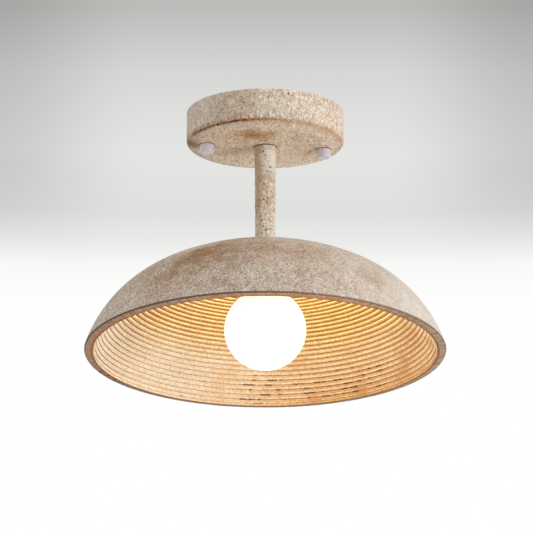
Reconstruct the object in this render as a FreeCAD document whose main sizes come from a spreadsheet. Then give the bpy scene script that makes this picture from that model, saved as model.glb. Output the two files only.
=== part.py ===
"""Semi flush ceiling light: a cast drum canopy, a short cast stem and a shallow dome
whose inside is terraced in fine rings round an opal glass ball.

Frame: millimetres, +Z up. The origin is the middle of the ceiling face, where the crossbar
is screwed to the ceiling box, and the light hangs down -Z. The two studs lie along X.
"""
import FreeCAD, Part
import math
import os
import re

import Sketcher
from FreeCAD import Rotation
from FreeCAD import Vector

# Driving sizes in millimetres and degrees: name, value, what it measures.
SIZES = [
    ("canopy_dia", 151.5, "canopy drum, outside"),
    ("canopy_depth", 35.0, "canopy, ceiling to underside"),
    ("canopy_side", 31.0, "canopy, straight part of its side"),
    ("canopy_flat_dia", 126.0, "flat middle of the canopy's underside"),
    ("canopy_wall", 7.0, "canopy, side wall"),
    ("canopy_floor", 7.0, "canopy, thickness of the underside"),
    ("canopy_edge", 1.2, "bevel on the canopy's lower edge"),
    ("stud_dia", 4.0, "studs"),
    ("stud_tail", 6.0, "stud below the canopy's underside"),
    ("stud_gap", 0.5, "play round a stud in the canopy"),
    ("stud_nut_flats", 7.0, "stud nut across its flats"),
    ("stud_nut_height", 3.2, "stud nut"),
    ("cap_dia", 13.6, "plastic cap nut"),
    ("cap_height", 8.4, "plastic cap nut"),
    ("cap_edge", 1.8, "rounding of the cap nut's lower edge"),
    ("insert_dia", 6.4, "brass insert of the cap nut"),
    ("insert_length", 7.0, "brass insert of the cap nut"),
    ("bar_gap", 3.75, "crossbar's end to the canopy's wall"),
    ("stud_inset", 8.3, "stud's middle from the crossbar's end"),
    ("bar_width", 22.0, "crossbar"),
    ("bar_thick", 2.0, "crossbar strip"),
    ("bar_corner", 5.0, "crossbar's corners"),
    ("bar_wire_dia", 13.0, "wire hole in the crossbar"),
    ("slot_inset", 9.5, "stud's middle from the end of the box screw slot"),
    ("slot_length", 15.0, "box screw slot, end to end"),
    ("slot_width", 4.6, "box screw slot"),
    ("ground_place", 17.0, "ground screw from the middle"),
    ("ground_dia", 4.0, "ground screw's shank"),
    ("ground_head_dia", 8.0, "ground screw's head"),
    ("ground_head", 2.6, "height of the ground screw's head"),
    ("tube_dia", 10.0, "threaded tube"),
    ("tube_bore", 8.0, "threaded tube, inside"),
    ("tube_gap", 0.3, "play round the tube in what it passes through"),
    ("thread_gap", 0.05, "play of a screwed thread"),
    ("tube_tail", 2.0, "tube beyond its last nut, each end"),
    ("canopy_washer_dia", 30.0, "washer on the canopy's floor"),
    ("canopy_washer_thick", 2.0, "washer on the canopy's floor"),
    ("lock_washer_dia", 18.0, "lock washers"),
    ("lock_washer_thick", 1.2, "lock washers"),
    ("earth_ring_dia", 16.0, "ring of the earth terminal"),
    ("earth_ring_thick", 0.8, "ring of the earth terminal"),
    ("earth_reach", 19.0, "tube's middle to the end of the earth terminal"),
    ("earth_barrel_dia", 3.6, "crimp barrel of the earth terminal"),
    ("earth_barrel_length", 6.0, "crimp barrel of the earth terminal"),
    ("earth_tongue", 5.0, "width of the earth terminal's tongue"),
    ("tube_nut_flats", 14.0, "nuts on the tube across their flats"),
    ("canopy_nut_height", 5.0, "nut on the canopy's side of the tube"),
    ("bushing_collar_dia", 9.6, "collar of the wire bushings"),
    ("bushing_collar", 1.2, "height of that collar"),
    ("bushing_bore", 6.6, "wire bushings, inside"),
    ("bushing_depth", 4.0, "wire bushings in the tube"),
    ("block_length", 30.0, "terminal block along its poles"),
    ("block_width", 18.0, "terminal block along its wires"),
    ("block_height", 14.0, "terminal block"),
    ("block_place", 43.0, "terminal block's middle from the light's axis"),
    ("pole_pitch", 10.0, "between poles of the block"),
    ("barrel_dia", 5.0, "brass barrel of a pole"),
    ("barrel_bore", 2.4, "wire bore of a barrel"),
    ("barrel_inset", 1.0, "barrel's end inside the block's face"),
    ("clamp_dia", 3.0, "clamp screws of the block"),
    ("clamp_inset", 1.0, "clamp screw below the block's top"),
    ("clamp_pitch", 8.0, "between the two clamp screws of a pole"),
    ("block_screw_dia", 3.0, "screw that holds the block"),
    ("block_screw_head_dia", 5.6, "head of that screw"),
    ("block_screw_head", 2.0, "height of that head"),
    ("block_screw_bite", 4.0, "depth of that screw in the canopy"),
    ("stem_length", 104.5, "stem sleeve"),
    ("stem_top_dia", 20.6, "stem sleeve under the canopy"),
    ("stem_foot_dia", 19.4, "stem sleeve on the dome"),
    ("shade_dia", 350.0, "dome's outer edge"),
    ("crown_radius", 243.0, "curve of the dome's crown, outside"),
    ("join_angle", 26.3, "where the crown's curve meets the side's, from the axis"),
    ("lip_angle", 71.0, "where the side's curve ends at the lip, from the axis"),
    ("shade_wall", 9.0, "dome wall to the crests of its rings"),
    ("shade_seat_dia", 26.0, "flat for the stem on the crown"),
    ("shade_inner_seat_dia", 52.0, "flat for the lamp cup under the crown"),
    ("lip_drop", 1.8, "inner edge of the lip below its outer edge"),
    ("lip_edge", 1.0, "rounding of the lip's outer edge"),
    ("ring_pitch", 4.83, "between the rings inside the dome, along the wall"),
    ("ring_depth", 1.2, "rings inside the dome, square to the wall"),
    ("pad_dia", 38.0, "pad and washer under the crown"),
    ("pad_thick", 1.0, "pad under the crown"),
    ("shade_washer_thick", 1.5, "washer under the crown"),
    ("cup_gap", 0.4, "play between the lamp cup and the screw ring"),
    ("cup_wall", 1.2, "lamp cup, sheet"),
    ("cup_cover", 2.5, "lamp cup over the globe's neck"),
    ("cup_edge", 4.0, "bevel of the cup's shoulder"),
    ("holder_nut_height", 4.0, "nut inside the lamp cup"),
    ("bracket_thick", 1.5, "bracket strip"),
    ("bracket_length", 32.0, "bracket across its legs"),
    ("bracket_width", 16.0, "bracket strip"),
    ("bracket_height", 12.0, "bracket, top to feet"),
    ("bracket_foot", 7.0, "bracket's feet, inwards"),
    ("holder_screw_span", 23.0, "between the lampholder's screws"),
    ("holder_screw_dia", 3.0, "lampholder's screws"),
    ("holder_screw_head_dia", 5.4, "heads of those screws"),
    ("holder_screw_head", 1.8, "height of those heads"),
    ("ear_length", 30.0, "lampholder's flange, end to end"),
    ("ear_width", 13.0, "lampholder's flange"),
    ("ear_thick", 3.0, "lampholder's flange"),
    ("holder_dia", 17.0, "lampholder's body"),
    ("holder_gap", 0.3, "play round the lampholder's body"),
    ("screw_gap", 0.1, "play round the lampholder's screws"),
    ("holder_boss", 4.0, "lampholder above its flange"),
    ("holder_body", 8.6, "lampholder below its flange"),
    ("wire_span", 3.6, "between the two leads in the tube"),
    ("lead_dia", 1.8, "leads over their insulation"),
    ("lead_gap", 0.15, "play round a lead in the lampholder"),
    ("lead_entry", 2.5, "lead inside the lampholder"),
    ("lead_grip", 5.0, "lead inside a barrel of the block"),
    ("lead_rise", 7.0, "live and neutral straight up out of the tube"),
    ("lead_crest", 10.5, "top of their arch above the tube"),
    ("lead_spread", 3.0, "live and neutral apart from the tube at the arch's top, each"),
    ("lead_run", 12.0, "live and neutral level before the block"),
    ("pin_span", 9.0, "between the lamp's pins"),
    ("pin_width", 3.6, "lamp pin's loop"),
    ("pin_length", 7.5, "lamp pins"),
    ("pin_wire", 0.9, "wire of the lamp's pins"),
    ("pin_gap", 0.3, "play round a pin in the lampholder"),
    ("pin_headroom", 1.5, "lampholder's slot beyond the pin"),
    ("contact_thick", 0.6, "spring contacts"),
    ("ring_plate", 2.0, "plate of the globe's screw ring"),
    ("plate_margin", 0.4, "screw ring's plate beyond the globe's neck"),
    ("skirt_dia", 36.0, "skirt of the globe's screw ring"),
    ("skirt_wall", 2.0, "skirt of the globe's screw ring"),
    ("skirt_depth", 10.0, "skirt below the plate"),
    ("gasket_thick", 1.0, "gasket on the globe's neck"),
    ("globe_dia", 79.0, "globe"),
    ("globe_wall", 1.8, "globe's glass"),
    ("globe_drop", 81.0, "dome's crown to the globe's middle"),
    ("neck_gap", 0.4, "play between the globe's neck and the skirt"),
    ("neck_wall", 2.1, "glass of the globe's neck"),
    ("lamp_dia", 16.0, "capsule lamp"),
    ("lamp_base", 6.0, "base of the capsule lamp"),
    ("lamp_cover", 36.0, "clear cover of the capsule lamp"),
    ("lamp_wall", 1.2, "clear cover of the capsule lamp"),
    ("lamp_edge", 2.0, "bevel round the clear cover's end"),
    ("board_width", 9.0, "board in the lamp"),
    ("board_length", 29.0, "board in the lamp"),
    ("board_thick", 1.2, "board in the lamp"),
    ("chip_size", 3.2, "light chips on the board"),
    ("chip_thick", 0.8, "light chips on the board"),
    ("chip_pitch", 6.0, "between the chips along the board"),
]

# Heights and radii that follow from those sizes, each in terms of sizes and places above it.
PLACES = [
    ("bar_length", "canopy_dia - 2 * canopy_wall - 2 * bar_gap"),
    ("stud_span", "bar_length - 2 * stud_inset"),
    ("slot_span", "stud_span - slot_length - 2 * slot_inset"),
    ("join_radius", "crown_radius * sin(join_angle)"),
    ("side_radius", "(shade_dia / 2 - join_radius) / (sin(lip_angle) - sin(join_angle))"),
    ("tube_hole_dia", "tube_dia + 2 * tube_gap"),
    ("tube_thread_dia", "tube_dia + 2 * thread_gap"),
    ("underside", "-canopy_depth"),
    ("floor_top", "canopy_floor - canopy_depth"),
    ("canopy_washer_top", "floor_top + canopy_washer_thick"),
    ("canopy_lock_top", "canopy_washer_top + lock_washer_thick"),
    ("earth_top", "canopy_lock_top + earth_ring_thick"),
    ("canopy_nut_top", "earth_top + canopy_nut_height"),
    ("tube_top", "canopy_nut_top + tube_tail"),
    ("pole_height", "floor_top + block_height / 2"),
    ("crown", "underside - stem_length"),
    ("inner_seat", "crown - shade_wall"),
    ("pad_foot", "inner_seat - pad_thick"),
    ("cup_top", "pad_foot - shade_washer_thick"),
    ("holder_lock_top", "cup_top - cup_wall"),
    ("holder_nut_top", "holder_lock_top - lock_washer_thick"),
    ("bracket_top", "holder_nut_top - holder_nut_height"),
    ("tube_foot", "bracket_top - bracket_thick - tube_tail"),
    ("bracket_foot_level", "bracket_top - bracket_height"),
    ("ring_top", "bracket_foot_level - ear_thick"),
    ("ring_foot", "ring_top - ring_plate"),
    ("lamp_seat", "ring_top - holder_body"),
    ("lead_foot", "bracket_foot_level + holder_boss - lead_entry"),
    ("neck_bore_radius", "skirt_dia / 2 + neck_gap"),
    ("neck_radius", "neck_bore_radius + neck_wall"),
    ("neck_top", "ring_foot - gasket_thick"),
    ("globe_height", "crown - globe_drop"),
    ("neck_length", "neck_top - globe_height"),
    ("plate_radius", "neck_radius + plate_margin"),
    ("cup_inner_radius", "plate_radius + cup_gap"),
    ("cup_depth", "cup_top - neck_top + cup_cover"),
    ("earth_barrel_height", "canopy_lock_top + earth_barrel_dia / 2"),
    ("block_face", "block_place - block_width / 2"),
]

NAMED = {name for name, *_ in SIZES}
PLACED = {name for name, *_ in PLACES}

doc = FreeCAD.newDocument("SemiFlushLight")
sheet = doc.addObject("Spreadsheet::Sheet", "Sizes")
places = doc.addObject("App::VarSet", "Places")
nodes = []


def linked(text):
    """Write each size or place of an expression as a reference to the sheet or the set."""
    def reference(match):
        word = match[0]
        if word in NAMED:
            return "Sizes." + word
        if word in PLACED:
            return "Places." + word
        return word
    return re.sub(r"[a-z][a-z0-9_]*", reference, text)


def fill_document():
    for row, (name, value, meaning) in enumerate(SIZES, start=1):
        sheet.set(f"A{row}", meaning)
        sheet.set(f"B{row}", str(value))
        sheet.setAlias(f"B{row}", name)
    doc.recompute()
    for name, text in PLACES:
        places.addProperty("App::PropertyFloat", name, "Places")
        places.setExpression(name, linked(text))
    doc.recompute()


def size(name):
    """The present value of a size or place."""
    return getattr(places, name) if name in PLACED else float(sheet.get(name))


def bind(item, **sizes):
    for key, text in sizes.items():
        item.setExpression(key.replace("__", "."), linked(text))
    return item


def put(item, x="0", y="0", z="0"):
    """Bind an object's place."""
    for axis, text in zip("xyz", (x, y, z)):
        if text != "0":
            item.setExpression(f"Placement.Base.{axis}", linked(text))
    return item


def node(item, label):
    """Name an object as one of the light's pieces."""
    item.Label = label
    nodes.append(item)
    return item


# Bodies and sketches

def new_body(label):
    return doc.addObject("PartDesign::Body", label + "_body")


def new_sketch(body, plane, lift="0"):
    """A sketch on one of the body's planes, or lifted off it along the plane's normal."""
    sketch = body.newObject("Sketcher::SketchObject", body.Name + "_sketch")
    for feature in body.Origin.OriginFeatures:
        if feature.Role == plane:
            sketch.AttachmentSupport = [(feature, "")]
    sketch.MapMode = "FlatFace"
    if lift != "0":
        bind(sketch, AttachmentOffset__Base__z=lift)
    return sketch


def fix_point(sketch, edge, end, x, y):
    """Hold one end or centre of an edge at a bound place."""
    for kind, text in (("DistanceX", x), ("DistanceY", y)):
        index = sketch.addConstraint(Sketcher.Constraint(kind, -1, 1, edge, end, 1.0))
        sketch.setExpression(f"Constraints[{index}]", linked(text))


def draw_outline(sketch, points):
    """A closed outline of straight edges whose corners are bound to sizes."""
    first = sketch.GeometryCount
    count = len(points)
    for index in range(count):
        turn = 2 * math.pi * index / count
        after = 2 * math.pi * (index + 1) / count
        start = Vector(10 * math.cos(turn), 10 * math.sin(turn), 0)
        finish = Vector(10 * math.cos(after), 10 * math.sin(after), 0)
        sketch.addGeometry(Part.LineSegment(start, finish), False)
    for index in range(count):
        edge = first + index
        following = first + (index + 1) % count
        sketch.addConstraint(Sketcher.Constraint("Coincident", edge, 2, following, 1))
        fix_point(sketch, edge, 1, *points[index])


def draw_circle(sketch, x, y, diameter):
    edge = sketch.addGeometry(Part.Circle(Vector(1, 1, 0), Vector(0, 0, 1), 2.0), False)
    fix_point(sketch, edge, 3, x, y)
    index = sketch.addConstraint(Sketcher.Constraint("Diameter", edge, 4.0))
    sketch.setExpression(f"Constraints[{index}]", linked(diameter))


def draw(sketch, outlines, circles):
    for points in outlines:
        draw_outline(sketch, points)
    for x, y, diameter in circles:
        draw_circle(sketch, x, y, diameter)


def box_outline(x, y, length, width):
    """The four corners of a rectangle by its middle."""
    left = f"{x} - ({length}) / 2"
    right = f"{x} + ({length}) / 2"
    near = f"{y} - ({width}) / 2"
    far = f"{y} + ({width}) / 2"
    return [(left, near), (right, near), (right, far), (left, far)]


def revolve(body, points):
    """Turn an outline of (radius, height) corners round the Z axis."""
    sketch = new_sketch(body, "XZ_Plane")
    draw_outline(sketch, points)
    turned = body.newObject("PartDesign::Revolution", body.Name + "_turned")
    turned.Profile = sketch
    turned.ReferenceAxis = (sketch, ["V_Axis"])
    turned.Angle = 360
    doc.recompute()
    return turned


def pad(body, length, outlines=(), circles=(), plane="XY_Plane", lift="0", side="One side"):
    sketch = new_sketch(body, plane, lift)
    draw(sketch, outlines, circles)
    padded = body.newObject("PartDesign::Pad", body.Name + "_pad")
    padded.Profile = sketch
    padded.SideType = side.replace("Reversed", "One side")
    padded.Reversed = side == "Reversed"
    bind(padded, Length=length)
    doc.recompute()
    return padded


def pocket(body, length, outlines=(), circles=(), plane="XY_Plane", lift="0", side="One side"):
    """Cut a depth into the body, or right through it both ways where length is None."""
    before = body.Shape.Volume
    sketch = new_sketch(body, plane, lift)
    draw(sketch, outlines, circles)
    cut = body.newObject("PartDesign::Pocket", body.Name + "_pocket")
    cut.Profile = sketch
    if length is None:
        cut.SideType = "Symmetric"
        cut.Type = "ThroughAll"
    else:
        cut.SideType = side.replace("Reversed", "One side")
        cut.Reversed = side == "Reversed"
        bind(cut, Length=length)
    doc.recompute()
    if not body.Shape.Volume < before:
        raise RuntimeError(f"{body.Name}: a pocket cut nothing")
    return cut


def dress_edges(body, kind, wanted, **sizes):
    """Dress the edges of the body's present shape that wanted(edge) picks."""
    base = body.Tip
    names = []
    for index, edge in enumerate(base.Shape.Edges, start=1):
        if wanted(edge):
            names.append(f"Edge{index}")
    dressed = body.newObject("PartDesign::" + kind, body.Name + "_" + kind.lower())
    dressed.Base = (base, names)
    bind(dressed, **sizes)
    doc.recompute()


def round_edges(body, radius, wanted):
    dress_edges(body, "Fillet", wanted, Radius=radius)


def bevel_edges(body, width, wanted):
    dress_edges(body, "Chamfer", wanted, Size=width)


def circle_at(radius, height):
    """A test for the round edge of that radius and height."""
    def wanted(edge):
        curve = edge.Curve
        if not isinstance(curve, Part.Circle):
            return False
        return abs(curve.Radius - radius) < 0.01 and abs(curve.Center.z - height) < 0.01
    return wanted


def upright(edge):
    return isinstance(edge.Curve, Part.Line) and abs(abs(edge.tangentAt(edge.FirstParameter).z) - 1) < 1e-6


# Pieces that repeat in kind

def ring(label, bore, outer, height, z):
    """A washer, pad or sleeve."""
    body = new_body(label)
    inner = f"({bore}) / 2"
    rim = f"({outer}) / 2"
    revolve(body, [(inner, "0"), (rim, "0"), (rim, height), (inner, height)])
    return put(body, z=z)


def hex_nut(label, flats, bore, height, x="0", z="0"):
    prism = doc.addObject("Part::Prism", label + "_prism")
    prism.Polygon = 6
    bind(prism, Circumradius=f"{flats} / sqrt(3)", Height=height)
    hole = doc.addObject("Part::Cylinder", label + "_hole")
    bind(hole, Radius=f"({bore}) / 2", Height=height)
    nut = doc.addObject("Part::Cut", label + "_nut")
    nut.Base = prism
    nut.Tool = hole
    return put(nut, x=x, z=z)


def screw(label, shank, length, head, head_height, x="0", y="0", z="0", head_up=False):
    """A round-headed screw whose head bears at its place, with the shank on the other side."""
    up = "" if head_up else "-"
    down = "-" if head_up else ""
    body = new_body(label)
    revolve(body, [
        ("0", f"{down}({length})"), (f"{shank} / 2", f"{down}({length})"),
        (f"{shank} / 2", "0"), (f"{head} / 2", "0"),
        (f"{head} / 2", f"{up}{head_height}"), ("0", f"{up}{head_height}"),
    ])
    return put(body, x, y, z)


def group(label, pieces):
    """Identical loose pieces that share one node."""
    whole = doc.addObject("Part::Compound", label + "_group")
    whole.Links = pieces
    return node(whole, label)


def mirrored(item, normal, base_z="0"):
    twin = doc.addObject("Part::Mirroring", item.Name + "_twin")
    twin.Source = item
    twin.Normal = normal
    if base_z != "0":
        bind(twin, Base__z=base_z)
    return twin


# What screws to the ceiling box

def crossbar():
    """A flat strip with its slots for the box screws, tapped for the studs and the earth."""
    body = new_body("crossbar")
    pad(body, "bar_thick", [box_outline("0", "0", "bar_length", "bar_width")], side="Reversed")
    round_edges(body, "bar_corner", upright)
    slots = []
    holes = [("0", "0", "bar_wire_dia"), ("ground_place", "0", "ground_dia + 2 * thread_gap")]
    for sign in ("-", ""):
        middle = f"{sign}slot_span / 2"
        straight = "slot_length - slot_width"
        slots.append(box_outline(middle, "0", straight, "slot_width"))
        holes.append((f"{sign}stud_span / 2", "0", "stud_dia + 2 * thread_gap"))
    ends = []
    for sign in ("-", ""):
        for way in ("-", "+"):
            place = f"{sign}slot_span / 2 {way} (slot_length - slot_width) / 2"
            ends.append((place, "0", "slot_width"))
    pocket(body, None, slots)
    pocket(body, None, circles=ends + holes)
    node(body, "crossbar")


def ground_screw():
    node(screw("ground_screw", "ground_dia", "bar_thick", "ground_head_dia", "ground_head",
               x="ground_place", z="-bar_thick"), "ground_screw")


def studs():
    rods = []
    nuts = []
    for side, sign in (("left", "-"), ("right", "")):
        place = f"{sign}stud_span / 2"
        rod = doc.addObject("Part::Cylinder", "stud_" + side)
        bind(rod, Radius="stud_dia / 2", Height="canopy_depth + stud_tail")
        rods.append(put(rod, x=place, z="underside - stud_tail"))
        nuts.append(hex_nut("stud_" + side, "stud_nut_flats", "stud_dia + 2 * thread_gap",
                            "stud_nut_height", x=place, z="-bar_thick - stud_nut_height"))
    group("canopy_studs", rods)
    group("stud_nuts", nuts)


def cap_nuts():
    """Plastic cap nuts on the studs under the canopy, each round a brass insert."""
    for side, sign in (("left", "-"), ("right", "")):
        place = f"{sign}stud_span / 2"
        body = new_body("cap_nut_" + side)
        revolve(body, [
            ("0", "-insert_length"), ("insert_dia / 2", "-insert_length"), ("insert_dia / 2", "0"),
            ("cap_dia / 2", "0"), ("cap_dia / 2", "-cap_height"), ("0", "-cap_height"),
        ])
        round_edges(body, "cap_edge", circle_at(size("cap_dia") / 2, -size("cap_height")))
        node(put(body, x=place, z="underside"), "cap_nut_" + side)
        insert = ring("cap_insert_" + side, "stud_dia + 2 * thread_gap", "insert_dia",
                      "insert_length", "underside - insert_length")
        node(put(insert, x=place), "cap_insert_" + side)


# The canopy and what is inside it

def canopy():
    """The cast drum: an open pot whose underside falls a little towards its flat middle."""
    body = new_body("canopy")
    inner = "canopy_dia / 2 - canopy_wall"
    revolve(body, [
        ("tube_hole_dia / 2", "underside"), ("canopy_flat_dia / 2", "underside"),
        ("canopy_dia / 2", "-canopy_side"), ("canopy_dia / 2", "0"), (inner, "0"),
        (inner, "floor_top"), ("tube_hole_dia / 2", "floor_top"),
    ])
    bevel_edges(body, "canopy_edge", circle_at(size("canopy_dia") / 2, -size("canopy_side")))
    stud_holes = [(f"{sign}stud_span / 2", "0", "stud_dia + 2 * stud_gap") for sign in ("-", "")]
    pocket(body, None, circles=stud_holes)
    pilot = ("pole_pitch / 2", "block_place", "block_screw_dia + 2 * thread_gap")
    pocket(body, "block_screw_bite - floor_top", circles=[pilot])
    node(body, "canopy")


def terminal_block():
    """A three pole block on the canopy's floor, its wire bores along Y."""
    body = new_body("terminal_block")
    pad(body, "block_height", [box_outline("0", "0", "block_length", "block_width")],
        side="Symmetric")
    poles = ["-pole_pitch", "0", "pole_pitch"]
    pocket(body, None, circles=[(pole, "0", "barrel_dia") for pole in poles], plane="XZ_Plane")
    wells = []
    barrels = []
    screws = []
    barrel_length = "block_width - 2 * barrel_inset"
    for index, pole in enumerate(poles):
        barrel = ring(f"barrel_{index}", "barrel_bore", "barrel_dia", barrel_length, "pole_height")
        barrel.Placement.Rotation = Rotation(Vector(1, 0, 0), -90)
        barrels.append(put(barrel, x=pole, y="block_face + barrel_inset"))
        for way in ("-", ""):
            wells.append((pole, f"{way}clamp_pitch / 2", "clamp_dia"))
            clamp = doc.addObject("Part::Cylinder", f"clamp_{index}")
            bind(clamp, Radius="clamp_dia / 2",
                 Height="(block_height - barrel_dia) / 2 - clamp_inset")
            place = f"block_place + {way}clamp_pitch / 2"
            screws.append(put(clamp, pole, place, "pole_height + barrel_dia / 2"))
    pocket(body, "block_height / 2", circles=wells, side="Reversed")
    pocket(body, None, circles=[("pole_pitch / 2", "0", "block_screw_dia + 2 * screw_gap")])
    node(put(body, y="block_place", z="pole_height"), "terminal_block")
    group("terminal_barrels", barrels)
    group("terminal_screws", screws)
    fixing = screw("block_screw", "block_screw_dia", "block_height + block_screw_bite",
                   "block_screw_head_dia", "block_screw_head", "pole_pitch / 2", "block_place",
                   "floor_top + block_height", head_up=True)
    node(fixing, "block_screw")


def tube_and_nuts():
    tube = ring("threaded_tube", "tube_bore", "tube_dia", "tube_top - tube_foot", "tube_foot")
    node(tube, "threaded_tube")
    node(ring("canopy_washer", "tube_hole_dia", "canopy_washer_dia", "canopy_washer_thick",
              "floor_top"), "canopy_washer")
    node(ring("canopy_lock_washer", "tube_hole_dia", "lock_washer_dia", "lock_washer_thick",
              "canopy_washer_top"), "canopy_lock_washer")
    node(hex_nut("canopy_nut", "tube_nut_flats", "tube_thread_dia", "canopy_nut_height",
                 z="earth_top"), "canopy_nut")
    bushing = new_body("bushing")
    bore = "bushing_bore / 2"
    revolve(bushing, [
        (bore, "-bushing_depth"), ("tube_bore / 2", "-bushing_depth"), ("tube_bore / 2", "0"),
        ("bushing_collar_dia / 2", "0"), ("bushing_collar_dia / 2", "bushing_collar"),
        (bore, "bushing_collar"),
    ])
    put(bushing, z="tube_top")
    group("wire_bushings", [bushing, mirrored(bushing, Vector(0, 0, 1), "(tube_top + tube_foot) / 2")])


def earth_terminal():
    """A crimped ring terminal under the canopy nut, its barrel towards the block."""
    body = new_body("earth_ring")
    revolve(body, [
        ("tube_hole_dia / 2", "0"), ("earth_ring_dia / 2", "0"),
        ("earth_ring_dia / 2", "earth_ring_thick"), ("tube_hole_dia / 2", "earth_ring_thick"),
    ])
    root = "tube_hole_dia / 2 + 1"
    tip = "earth_reach - earth_barrel_length / 2"
    edge = "earth_tongue / 2"
    pad(body, "earth_ring_thick",
        [[(f"-{edge}", root), (edge, root), ("earth_barrel_dia / 2", tip),
          ("-earth_barrel_dia / 2", tip)]])
    pad(body, "earth_barrel_length", circles=[("0", "earth_barrel_dia / 2", "earth_barrel_dia")],
        plane="XZ_Plane", lift="earth_barrel_length - earth_reach", side="Reversed")
    node(put(body, z="canopy_lock_top"), "earth_ring")


# The stem and the dome

def stem_sleeve():
    body = new_body("stem_sleeve")
    revolve(body, [
        ("tube_hole_dia / 2", "0"), ("stem_foot_dia / 2", "0"),
        ("stem_top_dia / 2", "stem_length"), ("tube_hole_dia / 2", "stem_length"),
    ])
    node(put(body, z="crown"), "stem_sleeve")


class DomeWall:
    """The dome's wall in its own frame: crown seat at height 0, one arc for the crown and a
    tighter one, tangent to it, for the side. Angles are from the axis, in radians."""

    def __init__(self):
        self.crown_r = size("crown_radius")
        self.side_r = size("side_radius")
        self.join = math.radians(size("join_angle"))
        seat_angle = math.asin(size("shade_seat_dia") / 2 / self.crown_r)
        self.crown_z = -self.crown_r * math.cos(seat_angle)
        apart = self.crown_r - self.side_r
        self.side_x = apart * math.sin(self.join)
        self.side_z = self.crown_z + apart * math.cos(self.join)

    def point(self, angle, inset=0.0):
        """The point of the wall at that angle, set in from the outside."""
        if angle < self.join:
            reach = self.crown_r - inset
            return Vector(reach * math.sin(angle), 0, self.crown_z + reach * math.cos(angle))
        reach = self.side_r - inset
        return Vector(self.side_x + reach * math.sin(angle), 0,
                      self.side_z + reach * math.cos(angle))

    def angle_after(self, start, length, inset):
        """The angle that lies a length further along the wall from a starting angle."""
        crown_left = max(self.join - start, 0) * (self.crown_r - inset)
        if length < crown_left:
            return start + length / (self.crown_r - inset)
        return max(self.join, start) + (length - crown_left) / (self.side_r - inset)

    def arc(self, start, finish, inset=0.0):
        middle = self.point((start + finish) / 2, inset)
        return Part.Arc(self.point(start, inset), middle, self.point(finish, inset)).toShape()


def terraces(wall, inset, start, finish):
    """Corners of the rings, crown to lip: a flat-lying tread out from each crest into the
    wall, then an upright riser down to the next crest."""
    pitch = size("ring_pitch")
    depth = size("ring_depth")
    corners = [wall.point(start, inset)]
    angle = wall.angle_after(start, pitch, inset)
    while angle < finish:
        crest = wall.point(angle, inset)
        corners.append(crest + Vector(0, 0, depth / math.cos(angle)))
        corners.append(crest)
        angle = wall.angle_after(angle, pitch, inset)
    return corners


def shade():
    """The cast dome: a smooth outside and an inside terraced in rings."""
    wall = DomeWall()
    inset = size("shade_wall")
    hole_r = size("tube_hole_dia") / 2
    seat_r = size("shade_seat_dia") / 2
    inner_seat_r = size("shade_inner_seat_dia") / 2
    seat_angle = math.asin(seat_r / wall.crown_r)
    lip_angle = math.radians(size("lip_angle"))
    outer_lip = wall.point(lip_angle)
    inner_lip_z = outer_lip.z - size("lip_drop")
    inner_angle = math.acos((inner_lip_z - wall.side_z) / (wall.side_r - inset))
    inner_lip = wall.point(inner_angle, inset)
    edge = size("lip_edge")
    edge_angle = lip_angle - edge / wall.side_r
    across = (inner_lip - outer_lip).normalize()
    first = math.asin(inner_seat_r / (wall.crown_r - inset))
    corners = [
        outer_lip + across * edge,
        inner_lip - across * edge,
        wall.point(inner_angle - edge / (wall.side_r - inset), inset),
    ]
    corners += reversed(terraces(wall, inset, first, inner_angle - edge / wall.side_r))
    corners += [Vector(inner_seat_r, 0, -inset), Vector(hole_r, 0, -inset),
                Vector(hole_r, 0, 0), wall.point(seat_angle)]
    edges = [wall.arc(seat_angle, wall.join), wall.arc(wall.join, edge_angle)]
    before = wall.point(edge_angle)
    for corner in corners:
        edges.append(Part.LineSegment(before, corner).toShape())
        before = corner
    face = Part.Face(Part.Wire(edges))
    dome = doc.addObject("Part::Feature", "shade_wall_form")
    dome.Shape = face.revolve(Vector(0, 0, 0), Vector(0, 0, 1), 360)
    node(put(dome, z="crown"), "shade")


# The lamp cup and lampholder under the crown

def crown_stack():
    node(ring("shade_pad", "tube_hole_dia", "pad_dia", "pad_thick", "pad_foot"), "shade_pad")
    node(ring("shade_washer", "tube_hole_dia", "pad_dia", "shade_washer_thick", "cup_top"),
         "shade_washer")
    cup = new_body("lamp_cup")
    outer = "cup_inner_radius + cup_wall"
    revolve(cup, [
        ("tube_hole_dia / 2", "0"), (outer, "0"), (outer, "-cup_depth"),
        ("cup_inner_radius", "-cup_depth"), ("cup_inner_radius", "-cup_wall"),
        ("tube_hole_dia / 2", "-cup_wall"),
    ])
    bevel_edges(cup, "cup_edge", circle_at(size("cup_inner_radius") + size("cup_wall"), 0))
    bevel_edges(cup, "cup_edge - (2 - sqrt(2)) * cup_wall",
                circle_at(size("cup_inner_radius"), -size("cup_wall")))
    node(put(cup, z="cup_top"), "lamp_cup")
    node(ring("holder_lock_washer", "tube_hole_dia", "lock_washer_dia", "lock_washer_thick",
              "holder_nut_top"), "holder_lock_washer")
    node(hex_nut("holder_nut", "tube_nut_flats", "tube_thread_dia", "holder_nut_height",
                 z="bracket_top"), "holder_nut")


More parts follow.
